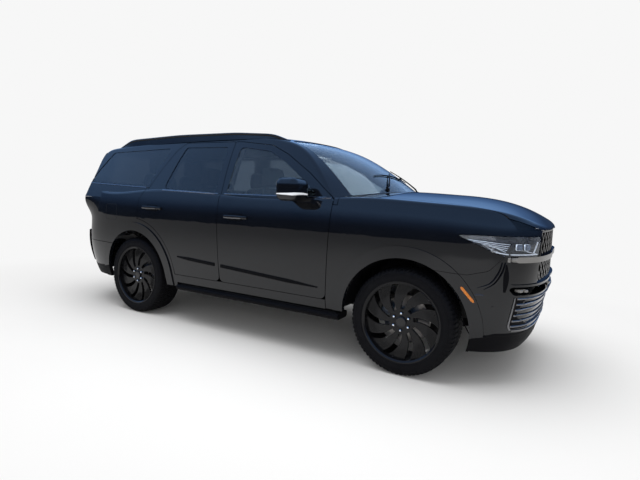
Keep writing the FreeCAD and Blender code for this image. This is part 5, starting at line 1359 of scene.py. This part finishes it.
add_block(bm, (0.028, 0.245, 0.068), placed((glass.x - 0.055, 0, glass.z - 0.085), -8), bevel=0.013, segments=5)
add_block(bm, (0.040, 0.050, 0.090), placed((glass.x - 0.020, 0, glass.z - 0.052), -35), bevel=0.010, segments=3)
piece_from("inner_mirror", bm, GLOSS_BLACK)


# Engine bay: a ribbed cover on the block, as thick as the hood leaves room for.

UNDER_HOOD = from_below(0.95, "hood")
cover_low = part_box("engine")[1].z + 0.001
cover_top = min(UNDER_HOOD(x, y)[0].z for x in (1.42, 1.70, 1.98) for y in (-0.24, 0.0, 0.24)) - 0.035
if cover_top - cover_low > 0.02:
    thick = min(cover_top - cover_low, 0.070)
    bm = bmesh.new()
    add_block(bm, (0.62, 0.50, thick), placed((1.68, 0, cover_low + thick / 2)), bevel=0.02, segments=4)
    for rib in range(6):
        add_block(bm, (0.52, 0.016, 0.010), placed((1.68, -0.19 + 0.076 * rib, cover_low + thick)), bevel=0.004)
    piece_from("engine_cover", bm, TRIM_BLACK)


# Roof rails: a smooth bar on a slim painted plinth, in place of the solid rail.

RAIL_STEPS = 60
RAIL_SMOOTHINGS = 6
RAIL_ENDS = 6
RAIL_PLACES = [y / 200 for y in range(128, 172)]


def smoothed(values):
    """Values averaged with their neighbours; the two ends stay."""
    middle = [(a + 2 * b + c) / 4 for a, b, c in zip(values, values[1:], values[2:])]
    return [values[0]] + middle + [values[-1]]


def build_rail(side, sign):
    rail_top = from_top("roof_rails")
    roof = from_top("roof_panel", "body_side_" + side)
    low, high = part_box("roof_rails")
    tops = []
    for k in range(RAIL_STEPS + 1):
        x = low.x + 0.012 + (high.x - low.x - 0.024) * k / RAIL_STEPS
        near = [rail_top(x, sign * y)[0] for y in RAIL_PLACES]
        near = [point for point in near if abs(point.x - x) < 0.002]
        best = max(near, key=lambda point: point.z) if near else tops[-1]
        tops.append(best.copy())
    heights, sides = [point.z for point in tops], [point.y for point in tops]
    for _ in range(RAIL_SMOOTHINGS):
        heights, sides = smoothed(heights), smoothed(sides)
    bar, plinth = [], []
    for k, (point, y, z) in enumerate(zip(tops, sides, heights)):
        def across(section):
            return [Vector((point.x, y + dy, height)) for dy, height in section]
        under = roof(point.x, y)[0].z
        z = min(z, high.z) - 0.001
        z = under + 0.006 + (z - under - 0.006) * math.sin(math.pi / 2 * min(1, min(k, RAIL_STEPS - k) / RAIL_ENDS))
        edge = min(max(z - 0.024, under - 0.004), z - 0.006)
        bar.append(across([(-0.017, edge), (-0.019, z - 0.010), (-0.012, z - 0.001), (0.0, z), (0.012, z - 0.001),
                           (0.019, z - 0.010), (0.017, edge)]))
        feet = [max(roof(point.x, y + dy)[0].z, under - 0.012) - 0.004 for dy in (-0.020, 0.020)]
        plinth.append(across([(-0.020, feet[0]), (-0.013, edge + 0.003), (0.013, edge + 0.003), (0.020, feet[1])]))
    rail = tubes_piece("rail_" + side, [bar], GLOSS_BLACK)
    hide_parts("roof_rails")
    tubes_piece("rail_plinth_" + side, [plinth], PAINT)


for side, sign in SIDES.items():
    build_rail(side, sign)


# Step pads, and tread lines on the bumper top.

ON_STEPS = from_top("running_boards")
STEP_RIB_SECTION = ((-0.006, -0.001), (-0.004, 0.003), (0.004, 0.003), (0.006, -0.001))
ribs = [[[ON_STEPS(x, sign * y)[0] + Vector((0, dy, dz)) for dy, dz in STEP_RIB_SECTION]
         for x in ramp(-0.690, 1.160, 61)] for sign in (-1, 1) for y in ramp(0.868, 0.964, 5)]
tubes_piece("step_treads", ribs, STEP_RUBBER)
strips_piece("bumper_treads", from_top("rear_bumper"),
             [line2((x, -0.66), (x, 0.66), 30) for x in (-2.560, -2.582, -2.604, -2.626)], 0.010, 0.0025, STEP_RUBBER)


# Studio: pale floor, a soft sky, three soft lamps and the camera.

bm = bmesh.new()
bmesh.ops.create_grid(bm, x_segments=1, y_segments=1, size=60)
floor_mesh = bpy.data.meshes.new("studio_floor")
bm.to_mesh(floor_mesh)
bm.free()
floor = bpy.data.objects.new("studio_floor", floor_mesh)
bpy.context.scene.collection.objects.link(floor)


def seen_directly(tree):
    """1 for the camera's own rays and those that pass through glass."""
    rays = add_node(tree, "LightPath").outputs
    return maths(tree, "MAXIMUM", rays["Is Camera Ray"], rays["Is Transmission Ray"])


FADE_X, FADE_Y = 6.4, 4.6


def build_floor_material():
    """A pale matt floor that keeps the shadow near the car and fades into the backdrop further off."""
    material = finish("studio floor", (0.80, 0.80, 0.80), 0.9, (0.82, 0.82, 0.82), mottle=0.6, specular_ior_level=0.0)
    tree = material.node_tree
    place = add_node(tree, "Mapping", {"Vector": object_place(tree), "Scale": (1 / FADE_X, 1 / FADE_Y, 1)})
    reach = add_node(tree, "VectorMath", {0: place.outputs["Vector"]}, operation="LENGTH")
    fade = add_node(tree, "MapRange", {"Value": reach.outputs["Value"], "From Min": 0.36, "From Max": 1.0},
                    interpolation_type="SMOOTHSTEP")
    share = maths(tree, "MULTIPLY", fade.outputs["Result"], seen_directly(tree))
    pale = add_node(tree, "Emission", {"Color": BACKDROP})
    both = add_node(tree, "MixShader", {"Fac": share, 1: tree.nodes["Principled BSDF"].outputs["BSDF"],
                                        2: pale.outputs["Emission"]})
    feed(tree, tree.nodes["Material Output"].inputs["Surface"], both.outputs["Shader"])
    return material


floor.data.materials.append(build_floor_material())

SKY_STOPS = ((0.10, (0.028, 0.056, 0.125)), (0.22, (0.10, 0.21, 0.46)), (0.38, (0.36, 0.68, 1.3)))


def build_world():
    """The backdrop for direct rays, a blue sky for reflections and an even grey for all other light."""
    world = bpy.data.worlds.new("studio sky")
    bpy.context.scene.world = world
    world.use_nodes = True
    tree = world.node_tree
    parts = add_node(tree, "SeparateXYZ", {"Vector": add_node(tree, "TexCoord").outputs["Generated"]})
    sky = add_node(tree, "ValToRGB", {"Fac": parts.outputs["Z"]})
    stops = sky.color_ramp.elements
    stops[0].position, stops[0].color = 0.0, (0.030, 0.045, 0.075, 1)
    stops[1].position, stops[1].color = 1.0, (0.28, 0.52, 1.0, 1)
    for share, colour in SKY_STOPS:
        stops.new(share).color = (*colour, 1)
    glossy = add_node(tree, "LightPath").outputs["Is Glossy Ray"]
    light = mixed(tree, glossy, (0.52, 0.52, 0.52, 1), sky.outputs["Color"])
    background = tree.nodes["Background"]
    feed(tree, background.inputs["Color"], mixed(tree, seen_directly(tree), light, BACKDROP))
    background.inputs["Strength"].default_value = 1.0


def add_lamp(name, place, aim, power, size):
    data = bpy.data.lights.new(name, "AREA")
    data.shape = "RECTANGLE"
    data.size, data.size_y = size
    data.energy = power
    lamp = bpy.data.objects.new(name, data)
    lamp.location = place
    lamp.visible_glossy = False
    lamp.rotation_euler = (Vector(aim) - Vector(place)).to_track_quat("-Z", "Y").to_euler()
    bpy.context.scene.collection.objects.link(lamp)


build_world()
add_lamp("overhead", (0.5, -0.5, 6.0), (0, 0, 0), 430, (8.0, 6.0))
add_lamp("side_fill", (4.5, -7.0, 2.6), (0.8, 0, 0.7), 90, (5.0, 2.2))
add_lamp("rear_fill", (-5.5, 5.5, 4.0), (0, 0, 0.8), 90, (5.0, 3.0))

# The camera, fitted to the picture: its place, its turn and its focal length as a share of the width.
CAMERA_PLACE = (2.8897, -4.2035, 1.3352)
YAW, PITCH, ROLL = math.radians(120.6114), math.radians(-5.1587), math.radians(2.1818)
SENSOR_WIDTH = 36
FOCAL_SHARE = 447.76 / 640
view_ahead = Vector((math.cos(PITCH) * math.cos(YAW), math.cos(PITCH) * math.sin(YAW), math.sin(PITCH)))
view_right = view_ahead.cross(Vector((0, 0, 1))).normalized()
view_up = view_right.cross(view_ahead)
turned_right = math.cos(ROLL) * view_right + math.sin(ROLL) * view_up
turned_up = -math.sin(ROLL) * view_right + math.cos(ROLL) * view_up
lens = bpy.data.cameras.new("camera")
lens.sensor_width = SENSOR_WIDTH
lens.lens = SENSOR_WIDTH * FOCAL_SHARE
lens.clip_end = 200
camera = bpy.data.objects.new("camera", lens)
camera.matrix_world = Matrix.Translation(CAMERA_PLACE) @ Matrix((
    turned_right, turned_up, -view_ahead)).transposed().to_4x4()
bpy.context.scene.collection.objects.link(camera)
bpy.context.scene.camera = camera
bpy.context.scene.view_settings.view_transform = "Standard"
